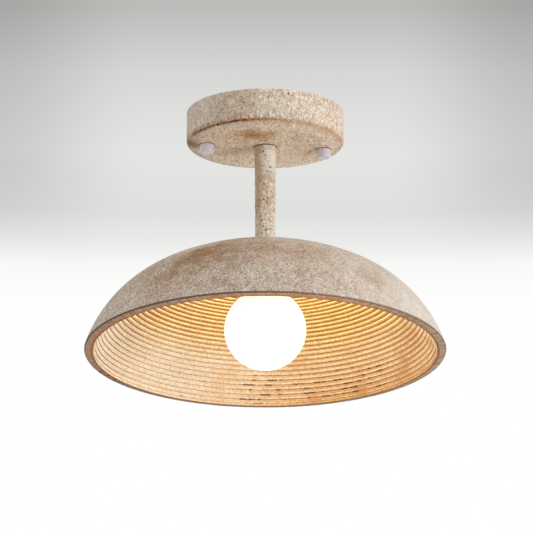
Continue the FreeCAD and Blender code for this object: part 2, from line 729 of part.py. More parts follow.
def holder_bracket():
    """A strip bent to a C: screwed on the tube's end, with two tapped feet turned inwards."""
    body = new_body("holder_bracket")
    side = "bracket_length / 2"
    inner = f"{side} - bracket_thick"
    foot = f"{side} - bracket_foot"
    under = "bracket_height - bracket_thick"
    half = [(foot, "0"), (side, "0"), (side, "bracket_height")]
    inside = [(inner, under), (inner, "bracket_thick"), (foot, "bracket_thick")]
    left = [(f"-({x})", z) for x, z in reversed(half)]
    left_inside = [(f"-({x})", z) for x, z in reversed(inside)]
    pad(body, "bracket_width", [half + left + left_inside + inside], plane="XZ_Plane",
        side="Symmetric")
    pocket(body, None, circles=[("0", "0", "tube_thread_dia")])
    taps = [(f"{sign}holder_screw_span / 2", "0", "holder_screw_dia + 2 * thread_gap")
            for sign in ("-", "")]
    pocket(body, "bracket_thick", circles=taps, side="Reversed")
    node(put(body, z="bracket_foot_level"), "holder_bracket")


def lampholder():
    """A fired ceramic two-pin holder: a round body through a flange with two screw holes."""
    body = new_body("lampholder")
    low = "-ear_thick - holder_body"
    revolve(body, [("0", low), ("holder_dia / 2", low), ("holder_dia / 2", "holder_boss"),
                   ("0", "holder_boss")])
    straight = "ear_length - ear_width"
    pad(body, "ear_thick", [box_outline("0", "0", straight, "ear_width")], side="Reversed")
    ends = [(f"{sign}({straight}) / 2", "0", "ear_width") for sign in ("-", "")]
    pad(body, "ear_thick", circles=ends, side="Reversed")
    screws = [(f"{sign}holder_screw_span / 2", "0", "holder_screw_dia + 2 * screw_gap")
              for sign in ("-", "")]
    pocket(body, None, circles=screws)
    leads = [(f"{sign}wire_span / 2", "0", "lead_dia + 2 * lead_gap") for sign in ("-", "")]
    pocket(body, "lead_entry", circles=leads, lift="holder_boss")
    near = "-pin_wire / 2 - pin_gap"
    far = "pin_wire / 2 + pin_gap + contact_thick"
    slots = []
    for sign in ("-", ""):
        low_x = f"{sign}(pin_span / 2) - pin_width / 2 - pin_gap"
        high_x = f"{sign}(pin_span / 2) + pin_width / 2 + pin_gap"
        slots.append([(low_x, near), (high_x, near), (high_x, far), (low_x, far)])
    pocket(body, "pin_length + pin_headroom", slots, lift=low, side="Reversed")
    node(put(body, z="bracket_foot_level"), "lampholder")

    contact = doc.addObject("Part::Box", "contact")
    bind(contact, Length="pin_width", Width="contact_thick", Height="pin_length")
    put(contact, "(pin_span - pin_width) / 2", "pin_wire / 2 + pin_gap", "lamp_seat + pin_headroom")
    group("holder_contacts", [contact, mirrored(contact, Vector(1, 0, 0))])

    fixing = screw("holder_screw", "holder_screw_dia", "ring_plate + ear_thick + bracket_thick",
                   "holder_screw_head_dia", "holder_screw_head", x="holder_screw_span / 2",
                   z="ring_foot")
    group("holder_screws", [fixing, mirrored(fixing, Vector(1, 0, 0))])


def screw_ring():
    """The moulded ring under the lampholder's flange, whose skirt the globe screws on to."""
    body = new_body("globe_screw_ring")
    bore = "holder_dia / 2 + holder_gap"
    skirt_inner = "skirt_dia / 2 - skirt_wall"
    low = "-ring_plate - skirt_depth"
    revolve(body, [
        (bore, "0"), ("plate_radius", "0"), ("plate_radius", "-ring_plate"),
        ("skirt_dia / 2", "-ring_plate"), ("skirt_dia / 2", low), (skirt_inner, low),
        (skirt_inner, "-ring_plate"), (bore, "-ring_plate"),
    ])
    screws = [(f"{sign}holder_screw_span / 2", "0", "holder_screw_dia + 2 * screw_gap")
              for sign in ("-", "")]
    pocket(body, None, circles=screws)
    node(put(body, z="ring_top"), "globe_screw_ring")
    node(ring("globe_gasket", "2 * neck_bore_radius", "2 * neck_radius", "gasket_thick",
              "neck_top"), "globe_gasket")


# The globe and the lamp in it

def globe():
    """A blown opal ball with a straight neck, hollow right through the neck."""
    solids = []
    for name, ball, neck in (("outside", "globe_dia / 2", "neck_radius"),
                             ("inside", "globe_dia / 2 - globe_wall", "neck_bore_radius")):
        sphere = doc.addObject("Part::Sphere", "globe_" + name)
        bind(sphere, Radius=ball)
        tube = doc.addObject("Part::Cylinder", "neck_" + name)
        bind(tube, Radius=neck, Height="neck_length")
        whole = doc.addObject("Part::Fuse", "globe_form_" + name)
        whole.Base = sphere
        whole.Tool = tube
        solids.append(whole)
    glass = doc.addObject("Part::Cut", "globe_glass")
    glass.Base = solids[0]
    glass.Tool = solids[1]
    node(put(glass, z="globe_height"), "globe")


def capsule_lamp():
    """A two-pin capsule lamp: base, wire loops for pins, and a clear cover over its board."""
    base = doc.addObject("Part::Cylinder", "lamp_base_form")
    bind(base, Radius="lamp_dia / 2", Height="lamp_base")
    node(put(base, z="lamp_seat - lamp_base"), "lamp_base")

    pin = new_body("lamp_pin")
    left = "pin_span / 2 - pin_width / 2"
    right = "pin_span / 2 + pin_width / 2"
    wire = "pin_wire"
    pad(pin, "pin_wire", [[
        (left, "0"), (f"{left} + {wire}", "0"), (f"{left} + {wire}", f"pin_length - {wire}"),
        (f"{right} - {wire}", f"pin_length - {wire}"), (f"{right} - {wire}", "0"), (right, "0"),
        (right, "pin_length"), (left, "pin_length"),
    ]], plane="XZ_Plane", side="Symmetric")
    put(pin, z="lamp_seat")
    group("lamp_pins", [pin, mirrored(pin, Vector(1, 0, 0))])

    board = doc.addObject("Part::Box", "board")
    bind(board, Length="board_width", Width="board_thick", Height="board_length")
    put(board, "-board_width / 2", "-board_thick / 2", "lamp_seat - lamp_base - board_length")
    node(board, "lamp_board")
    chips = []
    for face in ("board_thick / 2", "-board_thick / 2 - chip_thick"):
        for index in range(4):
            chip = doc.addObject("Part::Box", "chip")
            bind(chip, Length="chip_size", Width="chip_thick", Height="chip_size")
            height = f"lamp_seat - lamp_base - chip_pitch * {index + 1} - chip_size / 2"
            chips.append(put(chip, "-chip_size / 2", face, height))
    group("lamp_chips", chips)

    cover = new_body("lamp_cover")
    inner = "lamp_dia / 2 - lamp_wall"
    revolve(cover, [
        ("0", "-lamp_cover"), ("lamp_dia / 2", "-lamp_cover"), ("lamp_dia / 2", "0"),
        (inner, "0"), (inner, "lamp_wall - lamp_cover"), ("0", "lamp_wall - lamp_cover"),
    ])
    bevel_edges(cover, "lamp_edge", circle_at(size("lamp_dia") / 2, -size("lamp_cover")))
    inner_r = size("lamp_dia") / 2 - size("lamp_wall")
    bevel_edges(cover, "lamp_edge - (2 - sqrt(2)) * lamp_wall",
                circle_at(inner_r, size("lamp_wall") - size("lamp_cover")))
    node(put(cover, z="lamp_seat - lamp_base"), "lamp_cover")


# The leads

def bent_tube(points, diameter):
    """A round lead along straight runs joined by tangent arcs."""
    edges = []
    before = points[0]
    for previous, corner, following in zip(points, points[1:], points[2:]):
        back = previous - corner
        ahead = following - corner
        run = min(back.Length, ahead.Length)
        half_turn = (math.pi - back.getAngle(ahead)) / 2
        reach = 0.45 * run
        print(f"bend radius {reach / math.tan(half_turn):.1f} mm")
        enter = corner + back.normalize() * reach
        leave = corner + ahead.normalize() * reach
        radius = reach / math.tan(half_turn)
        bisector = (back + ahead).normalize()
        middle = corner + bisector * (radius / math.cos(half_turn) - radius)
        edges.append(Part.LineSegment(before, enter).toShape())
        edges.append(Part.Arc(enter, middle, leave).toShape())
        before = leave
    edges.append(Part.LineSegment(before, points[-1]).toShape())
    path = Part.Wire(edges)
    start = edges[0].tangentAt(edges[0].FirstParameter)
    section = Part.Wire([Part.Circle(points[0], start, diameter / 2).toShape()])
    lead = path.makePipeShell([section], True, False)
    volume = math.pi * diameter ** 2 / 4 * path.Length
    if abs(lead.Volume / volume - 1) > 0.01:
        raise RuntimeError("a lead's volume is not its section times its length")
    return lead


def leads():
    """Live and neutral go over from the block and down the tube, the earth to its ring."""
    wire_x = size("wire_span") / 2
    tube_top = size("tube_top")
    pole_x = size("pole_pitch")
    pole_z = size("pole_height")
    block_y = size("block_face") + size("barrel_inset") + size("lead_grip")
    for name, side in (("live_lead", -1), ("neutral_lead", 1)):
        route = [
            Vector(side * wire_x, 0, size("lead_foot")),
            Vector(side * wire_x, 0, tube_top + size("lead_rise")),
            Vector(side * (wire_x + size("lead_spread")), size("tube_dia"),
                   tube_top + size("lead_crest")),
            Vector(side * pole_x, size("block_face") - size("lead_run"), pole_z),
            Vector(side * pole_x, block_y, pole_z),
        ]
        lead = doc.addObject("Part::Feature", name + "_form")
        lead.Shape = bent_tube(route, size("lead_dia"))
        node(lead, name)
    crimp_z = size("earth_barrel_height")
    reach = size("earth_reach")
    route = [
        Vector(0, reach, crimp_z),
        Vector(0, reach + 5, crimp_z),
        Vector(0, size("block_face") - 4, pole_z),
        Vector(0, block_y, pole_z),
    ]
    lead = doc.addObject("Part::Feature", "earth_lead_form")
    lead.Shape = bent_tube(route, size("lead_dia"))
    node(lead, "earth_lead")


def check_and_write():
    doc.recompute()
    for item in doc.Objects:
        if "Invalid" in item.State or "Error" in item.State:
            raise RuntimeError(f"{item.Name} failed: {item.State}")
    for item in nodes:
        if item.Shape.isNull() or not item.Shape.isValid() or not item.Shape.Solids:
            raise RuntimeError(f"{item.Label} has no valid solid")
    os.makedirs("parts", exist_ok=True)
    for item in nodes:
        item.Shape.exportStep(f"parts/{item.Label}.step")
        print(f"{item.Label}: {len(item.Shape.Solids)} solid(s)")


fill_document()
crossbar()
ground_screw()
studs()
cap_nuts()
canopy()
terminal_block()
tube_and_nuts()
earth_terminal()
stem_sleeve()
shade()
crown_stack()
holder_bracket()
lampholder()
screw_ring()
globe()
capsule_lamp()
leads()
check_and_write()
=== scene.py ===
import math
from functools import reduce

import bmesh
import bpy
from mathutils import Matrix, Vector


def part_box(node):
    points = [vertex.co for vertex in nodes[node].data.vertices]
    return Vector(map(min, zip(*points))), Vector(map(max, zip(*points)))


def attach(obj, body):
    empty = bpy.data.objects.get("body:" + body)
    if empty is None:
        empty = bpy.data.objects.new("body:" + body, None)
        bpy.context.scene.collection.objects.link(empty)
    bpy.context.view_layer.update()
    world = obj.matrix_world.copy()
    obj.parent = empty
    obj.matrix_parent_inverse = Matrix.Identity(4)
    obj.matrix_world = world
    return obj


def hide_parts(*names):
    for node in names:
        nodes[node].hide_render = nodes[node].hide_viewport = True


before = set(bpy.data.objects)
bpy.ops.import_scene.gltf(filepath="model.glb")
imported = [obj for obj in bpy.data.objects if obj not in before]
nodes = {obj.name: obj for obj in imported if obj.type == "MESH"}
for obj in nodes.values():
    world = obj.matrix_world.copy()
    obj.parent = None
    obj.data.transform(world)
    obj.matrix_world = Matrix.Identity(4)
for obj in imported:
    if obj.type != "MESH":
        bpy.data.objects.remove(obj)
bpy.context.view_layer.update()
scene = bpy.context.scene
scene.view_settings.view_transform = "Standard"


# ---- The studio ----
# A pale studio seen from below the light, almost without perspective. The floor lies far
# under it, and the curved wall behind glows with painted shade, from white low down up to
# grey, and darker towards its sides.

def paint(red, green, blue):
    """A colour as the eye sees it, 0 to 255, in the shader's terms."""
    seen = [value / 255 for value in (red, green, blue)]
    return [v / 12.92 if v < 0.04 else ((v + 0.055) / 1.055) ** 2.4 for v in seen] + [1.0]


def both_ways(operation):
    """An operator on numbers, and the same with its sides swapped."""
    return (lambda one, other: calc(operation, one, other),
            lambda one, other: calc(operation, other, one))


class Number:
    """A number that a node gives out. Arithmetic with it adds Math nodes to its tree."""

    __add__, __radd__ = both_ways("ADD")
    __sub__, __rsub__ = both_ways("SUBTRACT")
    __mul__, __rmul__ = both_ways("MULTIPLY")
    __truediv__, __rtruediv__ = both_ways("DIVIDE")
    __gt__ = both_ways("GREATER_THAN")[0]
    __lt__ = both_ways("LESS_THAN")[0]

    def __init__(self, output):
        self.output = output


def feed(node, inputs):
    """Each of these inputs, by name or number, takes a value or another node's output."""
    for name, value in dict(inputs).items():
        if isinstance(value, Number):
            value = value.output
        if isinstance(value, bpy.types.NodeSocket):
            node.id_data.links.new(value, node.inputs[name])
        else:
            node.inputs[name].default_value = value


def add(tree, kind, inputs=(), **settings):
    """A new node of that kind."""
    made = tree.nodes.new(kind)
    for name, value in settings.items():
        setattr(made, name, value)
    feed(made, inputs)
    return made


def home(*values):
    """The tree of the first output among the values."""
    outputs = [getattr(value, "output", value) for value in values]
    return next(o.id_data for o in outputs if isinstance(o, bpy.types.NodeSocket))


def give(kind, inputs, **settings):
    """What a new node gives out, in the tree of the outputs that it takes."""
    inputs = dict(inputs)
    return add(home(*inputs.values()), kind, inputs, **settings).outputs[0]


def calc(operation, *values):
    """The result of a Math node."""
    return Number(give("ShaderNodeMath", enumerate(values), operation=operation))


def most(*values):
    return reduce(lambda one, other: calc("MAXIMUM", one, other), values)


def axes(vector):
    """The three parts of a vector."""
    parts = add(home(vector), "ShaderNodeSeparateXYZ", {0: vector}).outputs
    return [Number(part) for part in parts]


def fade(value, low, high, start=0.0, end=1.0):
    """A smooth step from one level to another as the value goes from low to high."""
    return Number(give("ShaderNodeMapRange", enumerate((value, low, high, start, end)),
                       interpolation_type="SMOOTHSTEP"))


def ramp(value, *stops):
    """A colour ramp over the value; each stop is a place and a colour."""
    made = add(home(value), "ShaderNodeValToRGB", {"Fac": value})
    band = made.color_ramp.elements
    band.remove(band[1])
    band[0].position, band[0].color = stops[0]
    for place, colour in stops[1:]:
        band.new(place).color = colour
    return made.outputs["Color"]


def blend(share, first, second, how="MIX"):
    """Two colours laid over each other."""
    return add(home(share, first, second), "ShaderNodeMix", {0: share, 6: first, 7: second},
               data_type="RGBA", blend_type=how).outputs[2]


def finish(name):
    """A new material, its shader and the piece's own coordinates."""
    made = bpy.data.materials.new(name)
    made.use_nodes = True
    place = add(made.node_tree, "ShaderNodeTexCoord").outputs["Object"]
    return made, made.node_tree.nodes["Principled BSDF"], place


def add_object(name, data):
    """A new object in the scene."""
    made = bpy.data.objects.new(name, data)
    scene.collection.objects.link(made)
    return made


turn, tilt = math.radians(-7.3), math.radians(-18.6)
towards_eye = Vector((math.sin(turn) * math.cos(tilt), -math.cos(turn) * math.cos(tilt),
                      math.sin(tilt)))
eye = add_object("eye", bpy.data.cameras.new("eye"))
eye.data.type = "ORTHO"
eye.data.ortho_scale = 0.5137
eye.data.clip_end = 20
eye.location = Vector((0.0012, -0.0002, -0.1561)) + towards_eye
eye.rotation_euler = (-towards_eye).to_track_quat("-Z", "Y").to_euler()
scene.camera = eye

floor_level, wall_radius, wall_top, panels = -1.2, 3.0, 5.0, 96
around = [Vector((wall_radius * math.cos(a), wall_radius * math.sin(a), 0))
          for a in (math.tau * k / panels for k in range(panels))]
floor_mesh = bpy.data.meshes.new("studio_floor")
floor_mesh.from_pydata([p + Vector((0, 0, floor_level)) for p in around], [],
                       [list(range(panels))])
wall_mesh = bpy.data.meshes.new("studio_wall")
wall_mesh.from_pydata(
    [p + Vector((0, 0, level)) for level in (floor_level, wall_top) for p in around], [],
    [[k, (k + 1) % panels, (k + 1) % panels + panels, k + panels] for k in range(panels)])
studio_floor = add_object("studio_floor", floor_mesh)
studio_wall = add_object("studio_wall", wall_mesh)

floor_paint, shader, place = finish("studio_floor")
feed(shader, {"Base Color": paint(240, 240, 239), "Roughness": 0.8})
floor_mesh.materials.append(floor_paint)

wall_paint, shader, place = finish("studio_wall")
tree = wall_paint.node_tree
tree.nodes.remove(shader)
x, y, z = axes(place)
level = (z - 0.80) / 0.40
greys = ((0.13, 249), (0.20, 234), (0.27, 224), (0.42, 229), (0.52, 223), (0.62, 215),
         (0.70, 203), (0.79, 188), (1.0, 180))
# Painted shade on the glowing wall: white low down, grey higher up, darker at the sides.
painted_wall_shade = ramp(level, (0.02, paint(255, 255, 255)),
              *((stop, paint(grey, grey, grey - 2)) for stop, grey in greys))
sideways = calc("ABSOLUTE", x * math.cos(turn) + y * math.sin(turn))
corners = fade(sideways, 0.11, 0.27, 0.0, 0.24) * fade(level, 0.1, 0.4)
glow = give("ShaderNodeEmission", {"Color": blend(corners, painted_wall_shade, paint(0, 0, 0))})
feed(tree.nodes["Material Output"], {"Surface": glow})
wall_mesh.materials.append(wall_paint)
studio_wall.visible_diffuse = False
studio_wall.visible_shadow = False

scene.world = bpy.data.worlds.new("studio_air")
scene.world.use_nodes = True
tree = scene.world.node_tree
ray = add(tree, "ShaderNodeLightPath").outputs
seen = most(ray["Is Camera Ray"], ray["Is Glossy Ray"], ray["Is Transmission Ray"])
feed(tree.nodes["Background"], {
    "Color": blend(seen, (0.78, 0.78, 0.79, 1), (0.52, 0.52, 0.52, 1)), "Strength": 1.0})

lit_point = Vector((0, 0, -0.13))
for name, place, width, power, colour in (
        ("key_lamp", (1.45, -0.75, -0.62), 0.8, 12.5, (1.0, 0.99, 0.98)),
        ("top_lamp", (0.5, -0.9, 1.1), 1.2, 6.0, (1.0, 1.0, 1.0))):
    lamp = bpy.data.lights.new(name, "AREA")
    lamp.shape = "DISK"
    lamp.size = width
    lamp.energy = power
    lamp.color = colour
    holder = add_object(name, lamp)
    holder.location = place
    holder.rotation_euler = (lit_point - holder.location).to_track_quat("-Z", "Y").to_euler()


# ---- Crossbar and ground screw ----
# The crossbar is pressed from 2 mm zinc-plated strip, slotted for the ceiling box's screws.
# A green-lacquered slotted screw beside its wire hole takes the earth wire.

mm = 0.001


def noise(place, scale, detail=2.0, rough=0.5):
    """A cloud of noise; its scale is in cells to the metre."""
    return Number(give("ShaderNodeTexNoise", {"Vector": place, "Scale": scale,
                                              "Detail": detail, "Roughness": rough}))


def bump(height, depth):
    """Relief of that depth, in metres."""
    return give("ShaderNodeBump", {"Height": height, "Distance": depth, "Strength": 1.0})


def shift(operation, *vectors):
    """The result of a Vector Math node."""
    return give("ShaderNodeVectorMath", enumerate(vectors), operation=operation)


def squeeze(place, by):
    """Coordinates stretched or squeezed along the axes."""
    return shift("MULTIPLY", place, by)


def metal(name, colour, dark, roughness=0.36, drawn=(1, 1, 1)):
    """Plated or bare metal: tarnish in clouds, a fine spangle and marks of its drawing."""
    made, shader, place = finish(name)
    spangle = noise(squeeze(place, drawn), 1100.0, 2.0, 0.7)
    tone = blend(fade(noise(place, 160.0, 3.0), 0.38, 0.68), colour, dark)
    feed(shader, {
        "Base Color": blend(fade(spangle, 0.35, 0.7, 0.0, 0.3), tone, dark),
        "Roughness": fade(spangle, 0.3, 0.7, roughness - 0.08, roughness + 0.12),
        "Normal": bump(spangle, 0.00004), "Metallic": 1.0})
    return made


def wear(name, material):
    """A CAD node takes this finish."""
    nodes[name].data.materials[0] = material


def new_tree(name, sizes, takes_mesh=False):
    """An empty Geometry Nodes tree with an input for each size and for the material, and
    what those inputs give."""
    tree = bpy.data.node_groups.new(name, "GeometryNodeTree")
    sockets = [("Geometry", "Geometry")] * takes_mesh + [(label, "Float") for label in sizes]
    for label, kind in sockets + [("Material", "Material")]:
        tree.interface.new_socket(label, in_out="INPUT", socket_type="NodeSocket" + kind)
    tree.interface.new_socket("Geometry", in_out="OUTPUT", socket_type="NodeSocketGeometry")
    given = dict(add(tree, "NodeGroupInput").outputs.items())
    return tree, given | {label: Number(given[label]) for label in sizes}


def lattice(tree, sides, rows):
    """A flat grid whose points know their turn, 0 to 1, and the number of their row."""
    grid = add(tree, "GeometryNodeMeshGrid", {"Size X": 1.0, "Size Y": 1.0,
                                              "Vertices X": sides + 1, "Vertices Y": rows})
    x, y, z = axes(add(tree, "GeometryNodeInputPosition").outputs[0])
    return grid.outputs["Mesh"], x + 0.5, calc("ROUND", (y + 0.5) * (rows - 1.0))


def least(*values):
    return reduce(lambda one, other: calc("MINIMUM", one, other), values)


def pick(choice, otherwise, wanted):
    """One number where the choice is 0 and another where it is 1."""
    return otherwise + choice * (wanted - otherwise)


def vector(x, y, z):
    return give("ShaderNodeCombineXYZ", enumerate((x, y, z)))


def wrap(mesh, turn, radius, height, way=1.0):
    """Bends the grid round the axis and closes its seam and poles."""
    angle = turn * (math.tau * way)
    position = vector(radius * calc("COSINE", angle), radius * calc("SINE", angle), height)
    shape = give("GeometryNodeSetPosition", {"Geometry": mesh, "Position": position})
    return give("GeometryNodeMergeByDistance", {"Geometry": shape, "Distance": 1e-6})


def crisp(shape):
    """Smooth shading that stays sharp at the shape's edges."""
    shape = give("GeometryNodeSetShadeSmooth", {0: shape})
    turned_by = Number(add(home(shape), "GeometryNodeInputMeshEdgeAngle").outputs[0])
    return give("GeometryNodeSetShadeSmooth", {
        "Geometry": shape, "Selection": turned_by > 0.5, "Shade Smooth": False},
        domain="EDGE")


set_out = ("Count", "Apart", "Lines", "Lines apart")


def repeat(shape, given):
    """The shape set out in one or more lines about its middle."""
    count, lines = most(given["Count"], 1.0), most(given["Lines"], 1.0)
    points = give("GeometryNodeMeshGrid", {
        "Size X": (count - 1.0) * given["Apart"],
        "Size Y": (lines - 1.0) * given["Lines apart"], "Vertices X": count,
        "Vertices Y": lines})
    return give("GeometryNodeInstanceOnPoints", {"Points": points, "Instance": shape})


def close_tree(shape, given):
    """The tree's end: real faces in the given material."""
    shape = give("GeometryNodeRealizeInstances", {0: shape})
    shape = give("GeometryNodeSetMaterial", {"Geometry": shape, "Material": given["Material"]})
    add(home(shape), "NodeGroupOutput", {0: shape})


def as_label(word):
    """The label of an input: Head radius for head_radius."""
    return word.replace("_", " ").capitalize()


def plain_mesh(made):
    """The mesh that an object comes to with its modifiers or its bevel."""
    bpy.context.view_layer.update()
    shaped = made.evaluated_get(bpy.context.evaluated_depsgraph_get())
    return bpy.data.meshes.new_from_object(shaped)


def grow(name, tree, material, numbers=(), onto=None, at=(0, 0, 0), **lengths):
    """The plain mesh that a tree makes by these numbers and lengths, or makes of a given
    object. Lengths and places are in millimetres."""
    values = {"Material": material}
    values |= {label: float(number) for label, number in dict(numbers).items()}
    values |= {as_label(name): length * mm for name, length in lengths.items()}
    made = onto or add_object(name, bpy.data.meshes.new(name))
    growing = made.modifiers.new(name, "NODES")
    growing.node_group = tree
    for item in tree.interface.items_tree:
        if item.in_out == "INPUT" and item.name in values:
            growing[item.identifier] = values[item.name]
    mesh = plain_mesh(made)
    made.modifiers.clear()
    made.data = mesh
    mesh.transform(Matrix.Translation([c * mm for c in at]))
    return made


def place_piece(piece, stands_for, body="fixture"):
    """A finished piece takes a CAD node's place on its body."""
    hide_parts(stands_for)
    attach(piece, body)


def fit(stands_for, look, *growing, **sizes):
    """A mesh grown with the rest of these values takes a fixed CAD node's place."""
    place_piece(grow(*growing, **sizes), stands_for)


def thread_form(tree, given, bore):
    """A threaded rod from height 0 upwards, with eased ends and that bore."""
    radius, pitch, depth, length = [given[label] for label in (
        "Radius", "Pitch", "Depth", "Length")]
    rows = 6.0 + 2.0 * calc("CEIL", length / pitch)
    mesh, turn, row = lattice(tree, 36, rows)
    height = least(length, most(0.0, (turn + (row - 4.0) / 2.0) * pitch))
    ridge = radius - depth * calc("MODULO", row, 2.0)
    eased = radius - depth + least(height, length - height)
    first, inner, last = row < 0.5, row < 1.5, row > rows - 1.5
    reach = pick(most(inner, last), least(ridge, eased), bore)
    height = pick(most(first, last), pick(inner, height, 0.0), length)
    return wrap(mesh, turn, reach, height)


def raised(shape, height):
    return give("GeometryNodeTransform", {"Geometry": shape,
                                          "Translation": vector(0.0, 0.0, height)})


# Machine screw: its head stands up from height 0 and its thread hangs down from there.
machine_screw, given = new_tree("machine_screw", (
    "Radius", "Pitch", "Depth", "Length", "Head radius", "Head height", "Slot") + set_out)
head_radius, head_height = given["Head radius"], given["Head height"]
shank = raised(thread_form(machine_screw, given, 0.0), given["Length"] * -1.0)
mesh, turn, row = lattice(machine_screw, 36, 10)
swell = math.pi / 2 * most(0.0, (row - 2.0) / 7.0)
reach = calc("POWER", most(0.0, calc("COSINE", swell)), 0.45) * (row > 0.5)
rise = (0.5 + 0.5 * calc("SINE", swell)) * (row > 1.5)
head = wrap(mesh, turn, head_radius * reach, head_height * rise)
cutter = give("GeometryNodeMeshCube",
              {"Size": vector(head_radius * 3.0, given["Slot"], head_height)})
cutter = raised(cutter, head_height)
feed(cutter.node, {"Rotation": (0.0, 0.0, 0.4)})
head = give("GeometryNodeMeshBoolean", {"Mesh 1": head, "Mesh 2": cutter},
            operation="DIFFERENCE")
both = give("GeometryNodeJoinGeometry", {0: head})
feed(both.node, {0: shank})
close_tree(repeat(crisp(both), given), given)

zinc = metal("zinc_steel", paint(208, 208, 206), paint(176, 181, 186), drawn=(0.25, 1, 1))
wear("crossbar", zinc)
lacquer = metal("ground_screw", paint(62, 142, 84), paint(40, 108, 62), 0.34)
ground_screw = grow("earth_screw", machine_screw, lacquer, radius=2, pitch=0.7, depth=0.35,
                    length=2, head_radius=4, head_height=2.6, slot=1.1)
ground_screw.data.transform(Matrix.Translation((17 * mm, 0, -2 * mm)) @
                            Matrix.Rotation(math.pi, 4, "X"))
place_piece(ground_screw, "ground_screw")


# ---- Studs and their nuts ----
# Two threaded studs hang from the crossbar, each locked by a chamfered hexagon nut. They
# pass down through the canopy's underside.

threaded_rod, given = new_tree("threaded_rod", ("Radius", "Pitch", "Depth", "Length", "Bore")
                               + set_out)
rod = thread_form(threaded_rod, given, given["Bore"])
close_tree(repeat(crisp(rod), given), given)

hexagon_nut, given = new_tree("hexagon_nut", ("Flats", "Height", "Bore") + set_out)
tall, half, chamfer_rise = given["Height"], given["Flats"] / 2.0, 0.07
mesh, turn, row = lattice(hexagon_nut, 60, 9)
sector = calc("FRACT", turn * 6.0) - 0.5
side = half / calc("COSINE", sector * (math.pi / 3))
share = pick(row > 4.5, (row - 2.0) * chamfer_rise, 1.0 - (7.0 - row) * chamfer_rise)
rise = share * tall
cone = half * 0.97 + least(rise, tall - rise) * 1.73
inner = most(row < 1.5, row > 7.5)
ends = most(row < 0.5, row > 7.5)
nut = wrap(mesh, turn, pick(inner, least(side, cone), given["Bore"]),
           pick(ends, rise * (row > 1.5), tall))
close_tree(repeat(crisp(nut), given), given)

stud_span = 113.4
fit("canopy_studs", "zinc_steel", "threaded_studs", threaded_rod, zinc, {"Count": 2},
    at=(0, 0, -41), radius=2, pitch=0.7, depth=0.35, length=41, apart=stud_span)
fit("stud_nuts", "zinc_steel", "stud_lock_nuts", hexagon_nut, zinc, {"Count": 2},
    at=(0, 0, -5.2), flats=7, height=3.2, bore=2.05, apart=stud_span)


# ---- Canopy ----
# The drum is cast in a stone-like compound, open above. Its side has a coarse sandy
# relief, its underside a finer grain, and the low places are tinted darker and warmer.

canopy_floor, hole_radius = round(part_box("canopy")[0].z / mm, 3), 5.3


def turned(name, outline, steps, material=None):
    """A shape turned round the light's axis. The outline goes round its section as radius,
    height and the longest step to the next corner, in millimetres."""
    rings = []
    for (r1, z1, step), (r2, z2, _) in zip(outline, outline[1:] + outline[:1]):
        count = max(1, math.ceil(math.hypot(r2 - r1, z2 - z1) / step))
        rings += [((r1 + (r2 - r1) * k / count) * mm, (z1 + (z2 - z1) * k / count) * mm)
                  for k in range(count)]
    form = bmesh.new()
    loops = []
    for radius, height in rings:
        if radius < 1e-9:
            loops.append([form.verts.new((0, 0, height))] * steps)
            continue
        loops.append([form.verts.new((radius * math.cos(math.tau * k / steps),
                                      radius * math.sin(math.tau * k / steps), height))
                      for k in range(steps)])
    for low, high in zip(loops, loops[1:] + loops[:1]):
        for k in range(steps):
            corners = [low[k], low[(k + 1) % steps], high[(k + 1) % steps], high[k]]
            corners = [c for i, c in enumerate(corners) if c not in corners[:i]]
            if len(corners) > 2:
                form.faces.new(corners)
    bmesh.ops.recalc_face_normals(form, faces=form.faces)
    for edge in form.edges:
        edge.smooth = edge.calc_face_angle(0.0) < 0.6
    mesh = bpy.data.meshes.new(name)
    form.to_mesh(mesh)
    form.free()
    mesh.shade_smooth()
    if material:
        mesh.materials.append(material)
    return add_object(name, mesh)


def keep(shape, **values):
    """The shape with these values kept on its points."""
    for label, value in values.items():
        shape = give("GeometryNodeStoreNamedAttribute",
                     {"Geometry": shape, "Name": label, "Value": value})
    return shape


# Cast skin: pushes a surface in by noise, never out, and keeps how low each point lies and
# its pits as attributes, which the finishes read.
cast_skin, given = new_tree("cast_skin", ("Depth", "Wave", "Grain", "Upright", "Pit",
                                          "Pit depth", "Pit share", "Seed"), takes_mesh=True)
here = add(cast_skin, "GeometryNodeInputPosition").outputs[0]
squeezed = squeeze(here, vector(1.0, 1.0, given["Upright"]))


def skin_noise(size, place, shift, twist=0.0):
    """Noise with cells of that size."""
    return Number(give("ShaderNodeTexNoise", {
        "Vector": place, "W": given["Seed"] + shift, "Scale": 1.0 / given[size],
        "Detail": 1.0, "Distortion": twist}, noise_dimensions="4D"))


low = 1.0 - fade(skin_noise("Wave", squeezed, 0.0, 0.7) * 0.6 +
                 skin_noise("Grain", here, 5.0) * 0.4, 0.36, 0.64)
pits = fade(skin_noise("Pit", squeezed, 9.0), 0.80 - given["Pit share"],
            0.84 - given["Pit share"])
inward = low * given["Depth"] + pits * given["Pit depth"]
outwards = add(cast_skin, "GeometryNodeInputNormal").outputs[0]
inward = give("ShaderNodeVectorMath", {0: outwards, "Scale": inward * -1.0},
              operation="SCALE")
close_tree(give("GeometryNodeSetPosition", {
    "Geometry": keep(given["Geometry"], low=low, pit=pits), "Offset": inward}), given)


def layers(colour, *laid):
    """The colour with others laid over it in turn, each by its share."""
    for share, other in laid:
        colour = blend(share, colour, other)
    return colour


def graded(colour, share, level, *stops):
    """The colour multiplied by tints that go with a level."""
    tints = ramp(level, *((place, (*tint, 1)) for place, tint in stops))
    return blend(share, colour, tints, "MULTIPLY")


def curling(place, detail, rough=0.5):
    """How far a point lies from the curls that the mould leaves."""
    return calc("ABSOLUTE", noise(place, 300.0, detail, rough) - 0.5)


